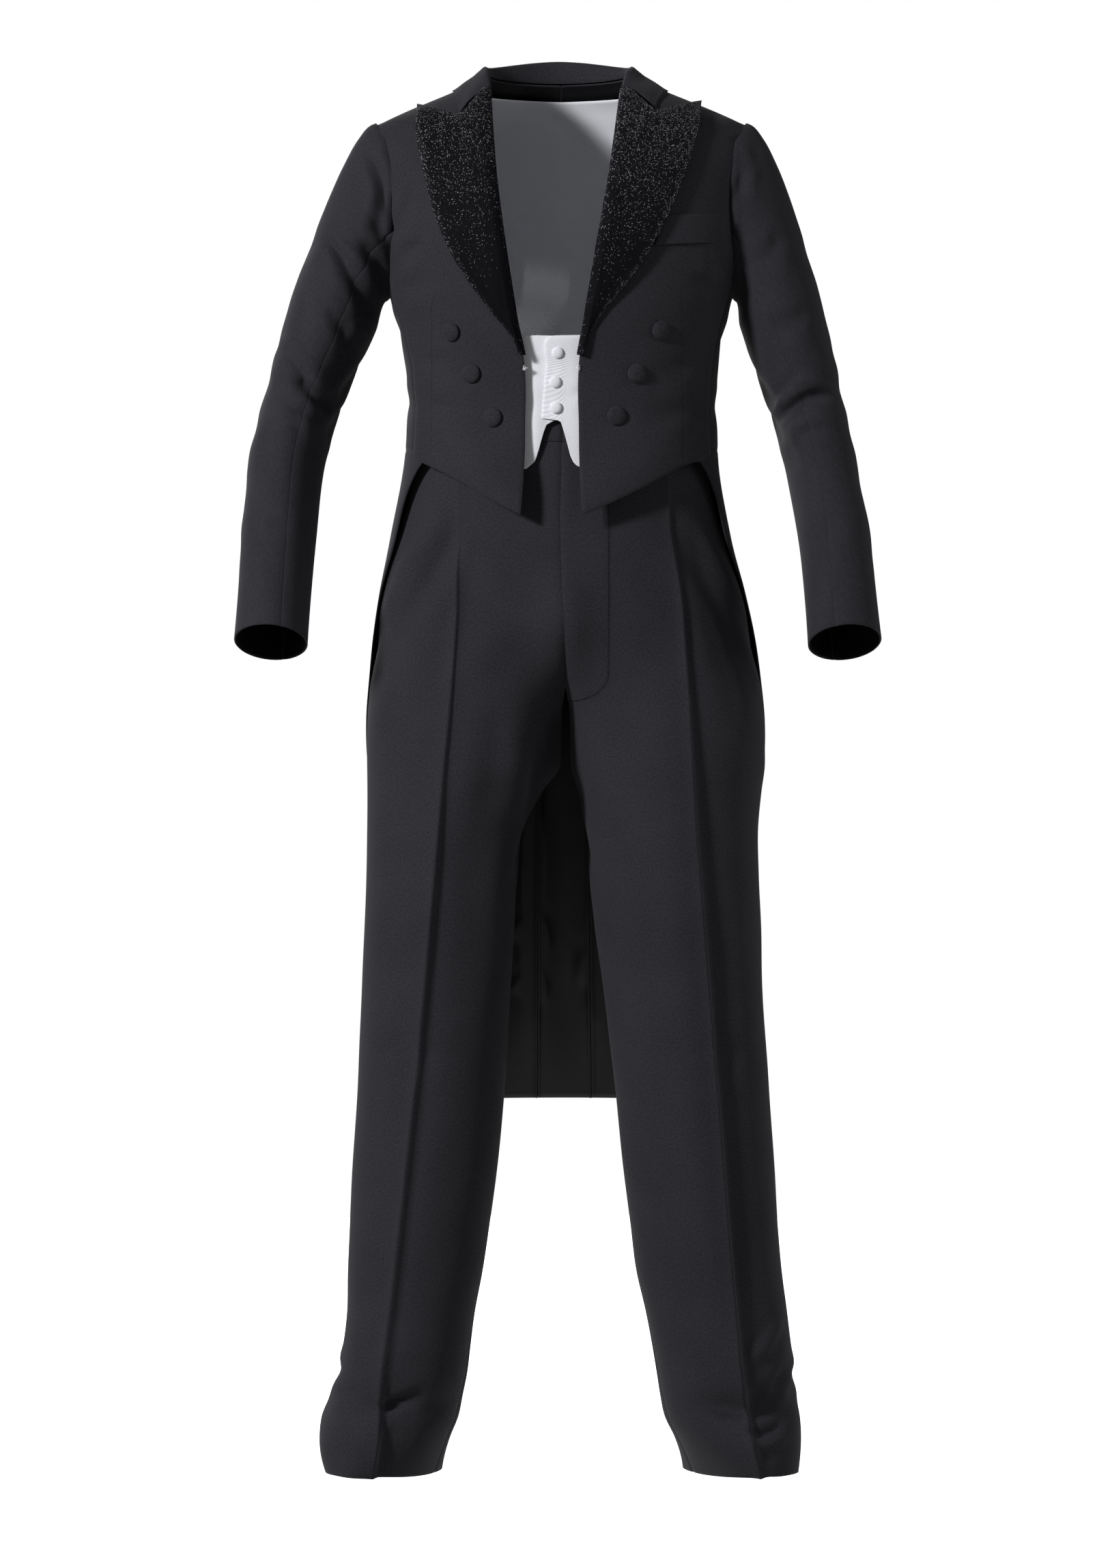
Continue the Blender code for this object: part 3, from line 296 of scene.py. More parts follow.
# The front creases, from the waist down, in millimetres: height, across
FRONT_CREASES = {
    "right": (
        (1190, -110.4), (1076.4, -110.9), (997.8, -113.1), (896.3, -121.2), (825.8, -127.8),
        (697.9, -139.6), (512.7, -155.8), (338.5, -175.2), (251, -185), (178.2, -194.7),
        (134.9, -199.1), (105.5, -200.6), (76.8, -205), (30, -211),
    ),
    "left": (
        (1190, 110), (1087.4, 115.5), (1008.8, 127), (907.3, 134.6), (773.6, 141.2), (689.1, 147.8),
        (579.5, 157.1), (478.1, 165.5), (309.1, 179.4), (189.3, 190.4), (147.4, 196.3), (112.1, 202.2),
        (72.4, 213.2), (30, 223),
    ),
}
# Radius of the threads, of the hook's and eye's wire, and how deep a stitch's ends are sunk
THREAD = 0.00030
HOOK_GAUGE = 0.00036
STITCH_SUNK = 0.0002
# How far the hook's and eye's rings lie back from the edge, in millimetres
HOOK_INSET = 0.8
# Lines of the darts in the coat's fronts, along which dark sunk threads paint the shade of the dart seams:
# across, height
DART_LINES = {
    "right": ((-0.1402, 1.3330), (-0.1408, 1.2600), (-0.1420, 1.1800)),
    "left": ((0.1277, 1.3395), (0.1284, 1.2600), (0.1290, 1.1650)),
}


def sewn_loop(up):
    """A ring of wire that is sewn down: along, up and out in millimetres."""
    turns = [math.radians(30 * step) for step in range(12)]
    return [(-1.15 * math.cos(turn), up - 1.15 * math.sin(turn), 0.25) for turn in turns]


# Wires of the hook and the eye, along towards the other front, up and out in millimetres
HOOK_WIRE = (
    [
        *sewn_loop(1.35), (0.2, 0.9, 0.3), (1.8, 0.45, 0.3), (3, 0.38, 0.4), (3.4, 0.2, 0.9),
        (3.2, 0, 1.4), (1.4, 0, 1.5),
    ],
    [
        *sewn_loop(-1.35)[::-1], (0.2, -0.9, 0.3), (1.8, -0.45, 0.3), (3, -0.38, 0.4), (3.4, -0.2, 0.9),
        (3.2, 0, 1.4),
    ],
)
EYE_WIRE = (
    sewn_loop(1.35),
    sewn_loop(-1.35),
    [
        (-0.2, 1.5, 0.3), (1.2, 1.5, 0.3), (2, 0.9, 0.4), (2.2, 0, 0.5), (2, -0.9, 0.4), (1.2, -1.5, 0.3),
        (-0.2, -1.5, 0.3),
    ],
)
# The waistcoat's points, as far as they show, in millimetres: across, height
WAISTCOAT_FEET = {
    "right": (
        (-90, 1170), (-55.9, 1152.5), (-38.8, 1153.5), (-29.3, 1161.5), (-25.6, 1173), (-21, 1190),
        (-16.8, 1203.1), (-7.9, 1205.2),
    ),
    "left": (
        (-22.4, 1207.1), (-4.6, 1204.9), (-1.5, 1203.1), (2.4, 1190), (7, 1173), (9.6, 1162.5),
        (16, 1156), (35, 1152), (58.1, 1154), (90, 1171),
    ),
}
# How far up a panel that is let down changes
FOOT_REACH = 0.085
# The corners of the coat's fronts over the skirts, in millimetres: across, height
COAT_FEET = {
    "right": (
        (-161.5, 1174), (-154.1, 1166), (-149, 1161.5), (-133.1, 1153.4), (-119.4, 1146.2),
        (-103.6, 1137.7),
    ),
    "left": (
        (127.6, 1157.3), (141.2, 1162.8), (149.3, 1163.8), (152.1, 1166), (160.5, 1174.5),
    ),
}
# How far the coat's fronts stand off the trousers at the side seam, how much more at the tip, and
# the width over which that grows
SEAM_LAP = 0.0012
TIP_LIFT = 0.0128
TIP_WIDTH = 0.135
# How far a lapel's outer edge stands up, and over what width
LAPEL_LIFT = 0.0050
LAPEL_WIDTH = 0.05
# The camera's focal length in millimetres, its place, and how far it looks down in degrees
CAMERA_LENS = 83.41
CAMERA_ACROSS = -0.015
CAMERA_HEIGHT = 0.90
CAMERA_DIP = 1.238
# Each light's size, its place and the point that it is aimed at
LIGHTS = {
    "key": (0.55, (-2.75, -2.6, 0.90), (0, 0, -0.65)),
    "fill": (2.5, (3.4, -0.6, 0.4), (0, 0, -0.7)),
    "back": (3.0, (-1.2, 3.4, 1.0), (0, 0, -0.7)),
}
# The borders of a surface, going round it
BORDERS = ("top", "end", "foot", "start")
# Across axis and facing direction of each side that a fold is seen from
SEEN_FROM = {
    "front": ((1, 0, 0), (0, -1, 0)),
    "back": ((1, 0, 0), (0, 1, 0)),
    "left": ((0, 1, 0), (1, 0, 0)),
    "right": ((0, 1, 0), (-1, 0, 0)),
}


def length_value(name, description, metres):
    return bpy.props.FloatProperty(name=name, description=description, default=metres, unit="LENGTH")


def power_value(name, description, watts):
    return bpy.props.FloatProperty(name=name, description=description, default=watts, unit="POWER")


def colour_value(name, description, value):
    return bpy.props.FloatVectorProperty(name=name, description=description, default=value, subtype="COLOR")


class SuitCloth(bpy.types.PropertyGroup):
    """Sizes of the cloth's surface."""

    spacing: length_value("Spacing", "Between the points of the fine cloth", 0.0046)
    seam_depth: length_value("Seam depth", "How far the cloth dips at a seam", 0.0007)
    seam_width: length_value("Seam width", "Half width of the dip at a seam", 0.0032)
    edge_round: length_value("Edge", "How far a cut edge rounds out", 0.00038)
    seam_reach: length_value("Seam reach", "How far a sewn edge runs into its neighbour", 0.0010)
    ease: length_value("Ease", "Height of the soft unevenness of the cloth", 0.0006)
    fold_share: bpy.props.FloatProperty(
        name="Folds", description="Share of the tabled fold depths", default=1.0, subtype="FACTOR"
    )


class SuitColours(bpy.types.PropertyGroup):
    """Colours of the suit's cloths and wire."""

    wool: colour_value("Wool", "Black wool of coat and trousers", (0.0262, 0.0253, 0.0305))
    facing: colour_value("Facing", "Ground of the lapel facing", (0.0030, 0.0028, 0.0038))
    # The glitter colour is painted glint: bright base colour standing in for the glitter flakes' reflections.
    glitter: colour_value("Glitter", "Glitter of the lapel facing", (0.52, 0.52, 0.56))
    pique: colour_value("Pique", "White cotton of the waistcoat", (0.91, 0.92, 0.97))
    lining: colour_value("Lining", "Satin inside the coat", (0.0045, 0.0045, 0.0055))
    steel: colour_value("Steel", "Wire of the hook and eye", (0.62, 0.62, 0.63))


class SuitStage(bpy.types.PropertyGroup):
    """The floor, light and camera distance."""

    key_power: power_value("Key light", "Power of the light from the upper left", 152.0)
    fill_power: power_value("Fill light", "Power of the wide light from the right", 30.0)
    back_power: power_value("Back light", "Power of the wide light from behind", 110.0)
    surround: bpy.props.FloatProperty(
        name="Surround", description="Brightness of the light from all around", default=0.150
    )
    floor_radius: length_value("Floor", "Radius of the pale floor", 2.4)
    camera_distance: length_value("Camera", "Camera's distance from the suit", 4.0)


# Reading a cloth wall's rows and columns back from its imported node


def node_mesh(node):
    """A node's points, those at one place made one, and its triangles."""
    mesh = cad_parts[node].data
    mesh.calc_loop_triangles()
    points = np.empty(len(mesh.vertices) * 3, np.float32)
    mesh.vertices.foreach_get("co", points)
    triangles = np.empty(len(mesh.loop_triangles) * 3, np.int32)
    mesh.loop_triangles.foreach_get("vertices", triangles)
    points = points.reshape(-1, 3).astype(float)
    key = np.round(points / WELD)
    _, first, index = np.unique(key, axis=0, return_index=True, return_inverse=True)
    triangles = index.reshape(-1)[triangles].reshape(-1, 3)
    a, b, c = triangles.T
    return points[first], triangles[(a != b) & (b != c) & (a != c)]


def border_loops(third):
    """The closed runs of edges that only one triangle uses."""
    ahead = {p: q for p, q in third if (q, p) not in third}
    left = set(ahead)
    loops = []
    while left:
        loop = [min(left)]
        left.discard(loop[0])
        while ahead[loop[-1]] != loop[0]:
            loop.append(ahead[loop[-1]])
            left.discard(loop[-1])
        loops.append(loop)
    return loops


def walked_rows(third, loop, rows, columns):
    """A wall's rows, walked strip by strip from the first corner of its border, or None."""
    row = loop[:columns]
    grid = [row]
    for level in range(1, rows):
        below = [loop[-level]]
        place = 0
        while place < columns - 1 or len(below) < columns:
            ahead = third.get((below[-1], row[place]))
            if place < columns - 1 and ahead == row[place + 1]:
                place += 1
            elif ahead is not None and len(below) < columns:
                below.append(ahead)
            else:
                return None
        if below[-1] != loop[columns - 1 + level]:
            return None
        row = below
        grid.append(row)
    return grid


def panel_rows(node, wall):
    """The middle of a cloth wall as rows of points, in an order that the mesh happens to have."""
    points, triangles = node_mesh(node)
    uses = {}
    for number, corners in enumerate(triangles.tolist()):
        for p, q in zip(corners, corners[1:] + corners[:1]):
            uses.setdefault((min(p, q), max(p, q)), []).append(number)
    rim = set()
    paired = set()
    misfit = {pair: abs(np.linalg.norm(points[pair[0]] - points[pair[1]]) - wall) for pair in uses}
    for pair in sorted((pair for pair in uses if misfit[pair] < WALL_SLACK), key=misfit.get):
        if not paired & set(pair):
            paired.update(pair)
            rim.update(uses[pair])
    third = {}
    for number, (a, b, c) in enumerate(triangles.tolist()):
        if number not in rim:
            third[(a, b)] = c
            third[(b, c)] = a
            third[(c, a)] = b
    loops = border_loops(third)
    if len(loops) != 2 or len(loops[0]) != len(loops[1]):
        raise RuntimeError(f"{node}: found borders {[len(loop) for loop in loops]}")
    half = len(loops[0]) / 4 + 1
    spread = math.sqrt(half * half - len(points) / 2)
    counts = (round(half - spread), round(half + spread))
    for start in range(len(loops[0])):
        near = loops[0][start:] + loops[0][:start]
        for rows, columns in (counts, counts[::-1]):
            top = walked_rows(third, near, rows, columns)
            if top is None:
                continue
            gaps = np.linalg.norm(points[loops[1]] - points[near[0]], axis=1)
            turn = int(np.argmin(abs(gaps - wall)))
            far = loops[1][turn:] + loops[1][:turn]
            under = walked_rows(third, far, columns, rows)
            if under is not None:
                return (points[np.array(top)] + points[np.array(under).T]) / 2
    raise RuntimeError(f"{node}: its rows can't be walked")


def surface_normals(surface):
    """Each point's direction off the surface."""
    down = np.gradient(surface, axis=0)
    across = np.gradient(surface, axis=1)
    normals = np.cross(down, across)
    return normals / np.linalg.norm(normals, axis=2, keepdims=True)


def laid_out(rows, centre):
    """The rows turned to run down and the columns across, with the surface facing out."""
    ends = [np.mean(rows[-1] - rows[0], axis=0), np.mean(rows[:, -1] - rows[:, 0], axis=0)]
    steepness = [abs(end[2]) / np.linalg.norm(end) for end in ends]
    if steepness[1] > steepness[0]:
        rows = rows.transpose(1, 0, 2)
        ends.reverse()
    if ends[0][2] > 0:
        rows = rows[::-1]
    middle = rows.mean(axis=1, keepdims=True)
    if centre is not None:
        middle = np.broadcast_to(np.array((*centre, 0)), middle.shape).copy()
        middle[:, :, 2] = rows[:, :, 2].mean(axis=1, keepdims=True)
    facing = np.sum(surface_normals(rows) * (rows - middle))
    return rows if facing > 0 else rows[:, ::-1]


def smooth_between(values, knots, fine):
    """Values on a smooth curve through the rows at the knots, at the fine places."""
    slopes = np.gradient(values, knots, axis=0, edge_order=2 if len(knots) > 2 else 1)
    place = np.clip(np.searchsorted(knots, fine, side="right") - 1, 0, len(knots) - 2)
    span = (knots[place + 1] - knots[place])[:, None, None]
    share = (fine - knots[place])[:, None, None] / span
    start = (1 + 2 * share) * (1 - share) ** 2 * values[place]
    start += share * (1 - share) ** 2 * span * slopes[place]
    end = share * share * (3 - 2 * share) * values[place + 1]
    end += share * share * (share - 1) * span * slopes[place + 1]
    return start + end


def refined(rows, spacing, breaks=()):
    """Rows added along the first axis, smooth through all but the breaks."""
    steps = np.linalg.norm(np.diff(rows, axis=0), axis=2)
    knots = np.concatenate([[0], np.cumsum(steps.max(axis=1) * 0.5 + steps.mean(axis=1) * 0.5)])
    parts = []
    edges = [0, *breaks, len(knots) - 1]
    for first, last in zip(edges, edges[1:]):
        length = knots[last] - knots[first]
        fine = np.linspace(0, length, max(1, math.ceil(length / spacing)) + 1)
        close = min(CREASE_CLOSE, BACK_SHARE * fine[1])
        if first != 0:
            fine = np.insert(fine, 1, close)
        if last != len(knots) - 1:
            fine = np.insert(fine, -1, length - close)
        part = smooth_between(rows[first : last + 1], knots[first : last + 1] - knots[first], fine)
        parts.append(part if last == len(knots) - 1 else part[:-1])
    return np.concatenate(parts)


def across_refined(rows, spacing, breaks=()):
    """Columns added along the second axis in the same way."""
    return refined(rows.transpose(1, 0, 2), spacing, breaks).transpose(1, 0, 2)


def way_along(surface, axis):
    """How far each point lies along its column or row."""
    steps = np.linalg.norm(np.diff(surface, axis=axis), axis=2)
    return np.insert(np.cumsum(steps, axis=axis), 0, 0, axis=axis)


def creased(rows, spacing, path):
    """The columns shared out again, so that one of them runs down the path, and its number."""
    dense = across_refined(rows, spacing / 3)
    heights, places = np.array(path[::-1]).T / 1000
    off = dense[..., 0] - np.interp(dense[..., 2] + HOLD_HEIGHT, heights, places)
    along = way_along(dense, 1)
    crossings = []
    for row_off, row_along in zip(off, along):
        middle = len(row_off) / 2
        turns = np.nonzero(row_off[:-1] * row_off[1:] <= 0)[0]
        turn = turns[np.argmin(abs(turns - middle))]
        share = row_off[turn] / (row_off[turn] - row_off[turn + 1])
        crossings.append(row_along[turn] + share * (row_along[turn + 1] - row_along[turn]))
    crossings = np.array(crossings)
    before = round(float(crossings.mean()) / spacing)
    after = round(float((along[:, -1] - crossings).mean()) / spacing)
    surface = []
    for row, row_along, crossing in zip(dense, along, crossings):
        first = np.linspace(0, crossing, before + 1)
        last = np.linspace(crossing, row_along[-1], after + 1)
        close = min(CREASE_CLOSE, FRONT_SHARE * (last[1] - last[0])) * np.arange(-1, 4)
        places = np.concatenate([first[:-1], crossing + close, last[1:]])
        surface.append([np.interp(places, row_along, row[:, axis]) for axis in range(3)])
    return np.array(surface).transpose(0, 2, 1), before + 1


def soft_step(value):
    """From 0 to 1 with soft ends."""
    value = np.clip(value, 0, 1)
    return value * value * (3 - 2 * value)


def lengthened(surface, foot):
    """The surface let down near its foot, to the foot's line of across and height."""
    places, heights = np.array(foot).T / 1000
    drop = surface[-1, :, 2] + HOLD_HEIGHT - np.interp(surface[-1, :, 0], places, heights)
    drop[(surface[-1, :, 0] < places[0]) | (surface[-1, :, 0] > places[-1])] = 0
    share = soft_step(1 - border_distances(surface)["foot"] / FOOT_REACH)
    surface = surface.copy()
    surface[..., 2] -= np.maximum(drop, 0) * share
    return surface


# Folds and seams


def fold_height(points, normals, folds):
    """How far the folds move points out along their normals."""
    height = points[..., 2] + HOLD_HEIGHT
    moved = np.zeros(points.shape[:-1])
    every = [(side, *fold) for side, rows in folds.items() for fold in np.array(rows) / 1000]
    for seen_from, x, top, end_x, end_top, bend, width, depth in every:
        across_axis, facing = SEEN_FROM[seen_from]
        facing = soft_step(normals @ np.array(facing, float) * 1.7)
        run = (end_x - x, end_top - top)
        length = math.hypot(*run)
        from_start = (points @ np.array(across_axis, float) - x, height - top)
        along = (from_start[0] * run[0] + from_start[1] * run[1]) / length**2
        beside = (from_start[1] * run[0] - from_start[0] * run[1]) / length
        # The fold widens and wavers on its way, has a low bank on either side and fades at its ends
        widening = width * (0.72 + 0.5 * np.clip(along, 0, 1) + 0.12 * np.sin(9 * along + 60 * x))
        place = (beside - bend * 4 * along * (1 - along)) / widening
        profile = np.exp(-(place**2))
        profile -= 0.34 * np.exp(-(((place - 1.9) / 0.9) ** 2)) + 0.26 * np.exp(-(((place + 1.9) / 0.9) ** 2))
        taper = soft_step((along + 0.12) / 0.36) * soft_step((1.12 - along) / 0.36)
        moved -= depth * profile * taper * facing * (1 + 0.15 * np.sin(7 * along + 40 * top))
    return moved


def soft_unevenness(points, height):
    """The cloth's slow unevenness, from a few long waves."""
    x, y, z = np.moveaxis(points, -1, 0)
    waves = np.sin(31 * x + 17 * z + 9 * y) + np.sin(23 * z - 37 * x + 1.7)
    waves += 0.7 * np.sin(53 * z + 29 * y + 0.6) + 0.5 * np.sin(71 * x - 41 * z + 33 * y)
    return height * waves / 3.2


def border_distances(surface):
    """Each point's distance from the first row, last row, first column and last column."""
    down, across = way_along(surface, 0), way_along(surface, 1)
    return {"top": down, "foot": down[-1:] - down, "start": across, "end": across[:, -1:] - across}


def made_piece(name, points, faces, materials):
    """A smooth object in the scene, made of points and faces."""
    mesh = bpy.data.meshes.new(name)
    mesh.from_pydata(points, [], faces)
    for material in materials:
        mesh.materials.append(material)
    mesh.shade_smooth()
    mesh.update()
    piece = bpy.data.objects.new(name, mesh)
    bpy.context.scene.collection.objects.link(piece)
    return piece


def panel_piece(name, surface, wall, reach, materials):
    """A closed wall round a surface of rows and columns, with a map in metres. Its edges round
    out by reach, which has a length for each border."""
    rows, columns = surface.shape[:2]
    normals = surface_normals(surface)
    count = rows * columns
    index = np.arange(count).reshape(rows, columns)
    border = np.concatenate([index[0, :-1], index[:-1, -1], index[-1, :0:-1], index[:0:-1, 0]])
    runs = zip(BORDERS, (columns - 1, rows - 1) * 2)
    round_out = np.concatenate([np.full(run, reach[side]) for side, run in runs])[:, None]
    outward = np.zeros(surface.shape)
    outward[0] += surface[0] - surface[1]
    outward[-1] += surface[-1] - surface[-2]
    outward[:, 0] += surface[:, 0] - surface[:, 1]
    outward[:, -1] += surface[:, -1] - surface[:, -2]
    outward = outward.reshape(-1, 3)[border]
    outward /= np.linalg.norm(outward, axis=1, keepdims=True)
    edge = surface.reshape(-1, 3)[border]
    edge_normals = normals.reshape(-1, 3)[border]
    layers = [surface + normals * wall / 2, surface - normals * wall / 2]
    points = [layer.reshape(-1, 3) for layer in layers]
    rings = [border]
    for turn in (45, 0, -45):
        turn = math.radians(turn)
        ring = edge + outward * round_out * math.cos(turn)
        points.append(ring + edge_normals * wall / 2 * math.sin(turn))
        rings.append(2 * count + len(border) * (len(rings) - 1) + np.arange(len(border)))
    rings.append(border + count)
    corners = (index[:-1, :-1], index[1:, :-1], index[1:, 1:], index[:-1, 1:])
    outer = np.stack([corner.ravel() for corner in corners], axis=1)
    faces = [outer, outer[:, ::-1] + count]
    for above, below in zip(rings, rings[1:]):
        faces.append(np.stack([above, np.roll(above, -1), np.roll(below, -1), below], axis=1))
    faces = np.concatenate(faces)
    piece = made_piece(name, np.concatenate(points).tolist(), faces.tolist(), materials)
    mesh = piece.data
    slots = np.zeros(len(faces), np.int32)
    slots[len(outer) : 2 * len(outer)] = len(materials) - 1
    mesh.polygons.foreach_set("material_index", slots)
    distances = border_distances(surface)
    across = distances["start"] - distances["start"][:, columns // 2 : columns // 2 + 1]
    flat = np.stack([across.ravel(), -distances["top"].ravel()], axis=1)
    flat = np.concatenate([flat, flat] + [flat[border]] * 3)
    loop_points = np.empty(len(mesh.loops), np.int32)
    mesh.loops.foreach_get("vertex_index", loop_points)
    mesh.uv_layers.new(name="cloth").data.foreach_set("uv", flat[loop_points].ravel())
    from_edge = np.minimum.reduce([values.ravel() for values in distances.values()])
    from_edge = np.concatenate([from_edge, from_edge] + [np.zeros(len(border))] * 3)
    mesh.attributes.new("from_edge", "FLOAT", "POINT").data.foreach_set("value", from_edge)
    return piece


@dataclass
class Panel:
    """How one cloth panel is dressed."""

    node: str
    wall: float
    slot: str
    materials: tuple
    centre: tuple = (-0.005, 0.0)
    folds: dict = None
    seams: tuple = ()
    breaks: tuple = ()
    held: str = "draped"
    limits: tuple = (-0.005, 0.004)
    rests_on: tuple = ()
    shape: object = None
    finer: float = 1.0
    ease: float = 1.0
    seam_depth: float = 1.0
    tuck: float = 0.0
    crease: tuple = None
    foot: tuple = None


def dress(panel):
    """Replaces a cloth node with its fine panel, and works out the cut's width, length and area."""
    cloth = bpy.context.scene.suit_cloth
    rows = laid_out(panel_rows(panel.node, panel.wall), panel.centre)
    if panel.tuck:
        step = rows[0] - rows[1]
        step *= panel.tuck / np.linalg.norm(step, axis=1, keepdims=True)
        inward = surface_normals(rows)[0] * SLEEVE_DROP
        rows = np.concatenate([[rows[0] + step - inward], rows])
    spacing = cloth.spacing * panel.finer
    surface = refined(rows, spacing)
    if panel.crease is not None:
        surface, column = creased(surface, spacing, panel.crease)
    else:
        before_crease = across_refined(surface[:, : CREASE_COLUMN + 1], spacing)
        column = before_crease.shape[1] - 1
        surface = across_refined(surface, spacing, panel.breaks)
    if panel.foot is not None:
        surface = lengthened(surface, panel.foot)
    cut = border_distances(surface)
    cut["crease"] = cut["start"] - cut["start"][:, column : column + 1]
    width = float(cut["start"][:, -1].max())
    length = float(cut["top"][-1].max())
    down = np.linalg.norm(np.diff(surface, axis=0), axis=2)
    across = np.linalg.norm(np.diff(surface, axis=1), axis=2)
    area = float((down[:, 1:] * across[1:]).sum())
    normals = surface_normals(surface)
    moved = fold_height(surface, normals, panel.folds or {}) * cloth.fold_share
    moved += soft_unevenness(surface, cloth.ease * panel.ease)
    if panel.shape is not None:
        moved += panel.shape(surface, cut)
    moved = np.clip(moved, *panel.limits)
    for border in panel.seams:
        moved -= panel.seam_depth * cloth.seam_depth * np.exp(-((cut[border] / cloth.seam_width) ** 2))
    surface = surface + normals * moved[..., None]
    reach = {name: cloth.seam_reach if name in panel.seams else cloth.edge_round for name in BORDERS}
    piece = panel_piece(panel.node + "_cloth", surface, panel.wall, reach, panel.materials)
    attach(piece, "root")
    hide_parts(panel.node)
    area = min(max(area, LEAST_AREA * width * length), width * length)


# Materials


class Term:
    """A node's output, which Python's operators turn into Math nodes."""

    def __init__(self, finish, socket):
        self.finish = finish
        self.socket = socket

    def math(self, operation, *others):
        values = dict(enumerate((self, *others)))
        return self.finish.node("ShaderNodeMath", {"operation": operation}, values)

    def __add__(self, other):
        return self.math("ADD", other)

    __radd__ = __add__

    def __sub__(self, other):
        return self.math("SUBTRACT", other)

    def __rsub__(self, other):
        return self.finish.node("ShaderNodeMath", {"operation": "SUBTRACT"}, {0: other, 1: self})

    def __mul__(self, other):
        return self.math("MULTIPLY", other)

    __rmul__ = __mul__

    def sine(self):
        return self.math("SINE")

    def above(self, other):
        return self.math("GREATER_THAN", other)

    def clamped(self):
        return self.finish.node("ShaderNodeClamp", {}, {"Value": self})


class Finish:
    """A material, or the world, written from expressions."""

    def __init__(self, name, kind="materials"):
        self.owner = getattr(bpy.data, kind).new(name)
        self.owner.use_nodes = True
        self.tree = self.owner.node_tree
        self.tree.nodes.clear()

    def node(self, kind, settings, sockets, output=0):
        made = self.tree.nodes.new(kind)
        for name, value in settings.items():
            setattr(made, name, value)
        for name, value in sockets.items():
            if isinstance(value, Term):
                self.tree.links.new(value.socket, made.inputs[name])
            else:
                made.inputs[name].default_value = value
        return Term(self, made.outputs[output]) if made.outputs else None

    def mixed(self, share, first, second):
        sockets = {"Factor": share, 6: first, 7: second}
        return self.node("ShaderNodeMix", {"data_type": "RGBA"}, sockets, 2)

    def bumped(self, height, strength, distance):
        return self.node("ShaderNodeBump", {}, {"Height": height, "Strength": strength, "Distance": distance})

    def surface(self, **sockets):
        names = {name.replace("_", " "): value for name, value in sockets.items()}
        shader = self.node("ShaderNodeBsdfPrincipled", {}, names)
        self.node("ShaderNodeOutputMaterial", {}, {"Surface": shader})
        return self.owner

    def cloth_map(self, turn=0.0, stretch=(1, 1, 1)):
        """The panel's own map in metres, turned in degrees."""
        place = self.node("ShaderNodeUVMap", {"uv_map": "cloth"}, {})
        sockets = {"Vector": place, "Rotation": (0, 0, math.radians(turn)), "Scale": stretch}
        return self.node("ShaderNodeMapping", {}, sockets)

    def object_map(self):
        return self.node("ShaderNodeTexCoord", {}, {}, 3)

    def noise(self, place, scale, detail=2.0):
        return self.node("ShaderNodeTexNoise", {}, {"Vector": place, "Scale": scale, "Detail": detail})

    def across(self, place, axis=0):
        return self.node("ShaderNodeSeparateXYZ", {}, {"Vector": place}, axis)


def shaded(colour, share):
    """A colour made darker or lighter, for a colour socket."""
    return tuple(value * share for value in colour) + (1,)


def made_once(write):
    """Keeps a material from the first call for the later ones."""
    kept = {}

    def fetch(*choices):
        if choices not in kept:
            kept[choices] = write(*choices)
        return kept[choices]

    return fetch


@made_once
def wool(mapped=True):
    """Matt black barathea: fine twill rows, a little nap and slow changes of tone."""
    colour = bpy.context.scene.suit_colours.wool
    finish = Finish("black_wool_cloth" if mapped else "black_wool_cover")
    place = finish.cloth_map() if mapped else finish.object_map()
    turned = finish.cloth_map(40) if mapped else finish.object_map()
    grain = finish.noise(place, 1500, 3)
    nap = finish.noise(place, 420, 2)
    slow = finish.noise(place, 14, 2)
    twill = (finish.across(turned) * (2 * math.pi / 0.0011)).sine() * 0.5 + 0.5
    tone = (grain * 0.85 + nap * 0.75 + slow * 0.25 + twill * 0.1 - 0.52).clamped()
    weave = twill * 0.5 + grain * 0.8 + nap * 0.4
    return finish.surface(
        Base_Color=finish.mixed(tone, shaded(colour, 0.30), shaded(colour, 1.85)),
        Roughness=nap * 0.12 + 0.80,
        Normal=finish.bumped(weave, 0.35, 0.00035),
        Specular_IOR_Level=0.08,
        Sheen_Weight=0.035,
        Sheen_Roughness=0.45,
    )


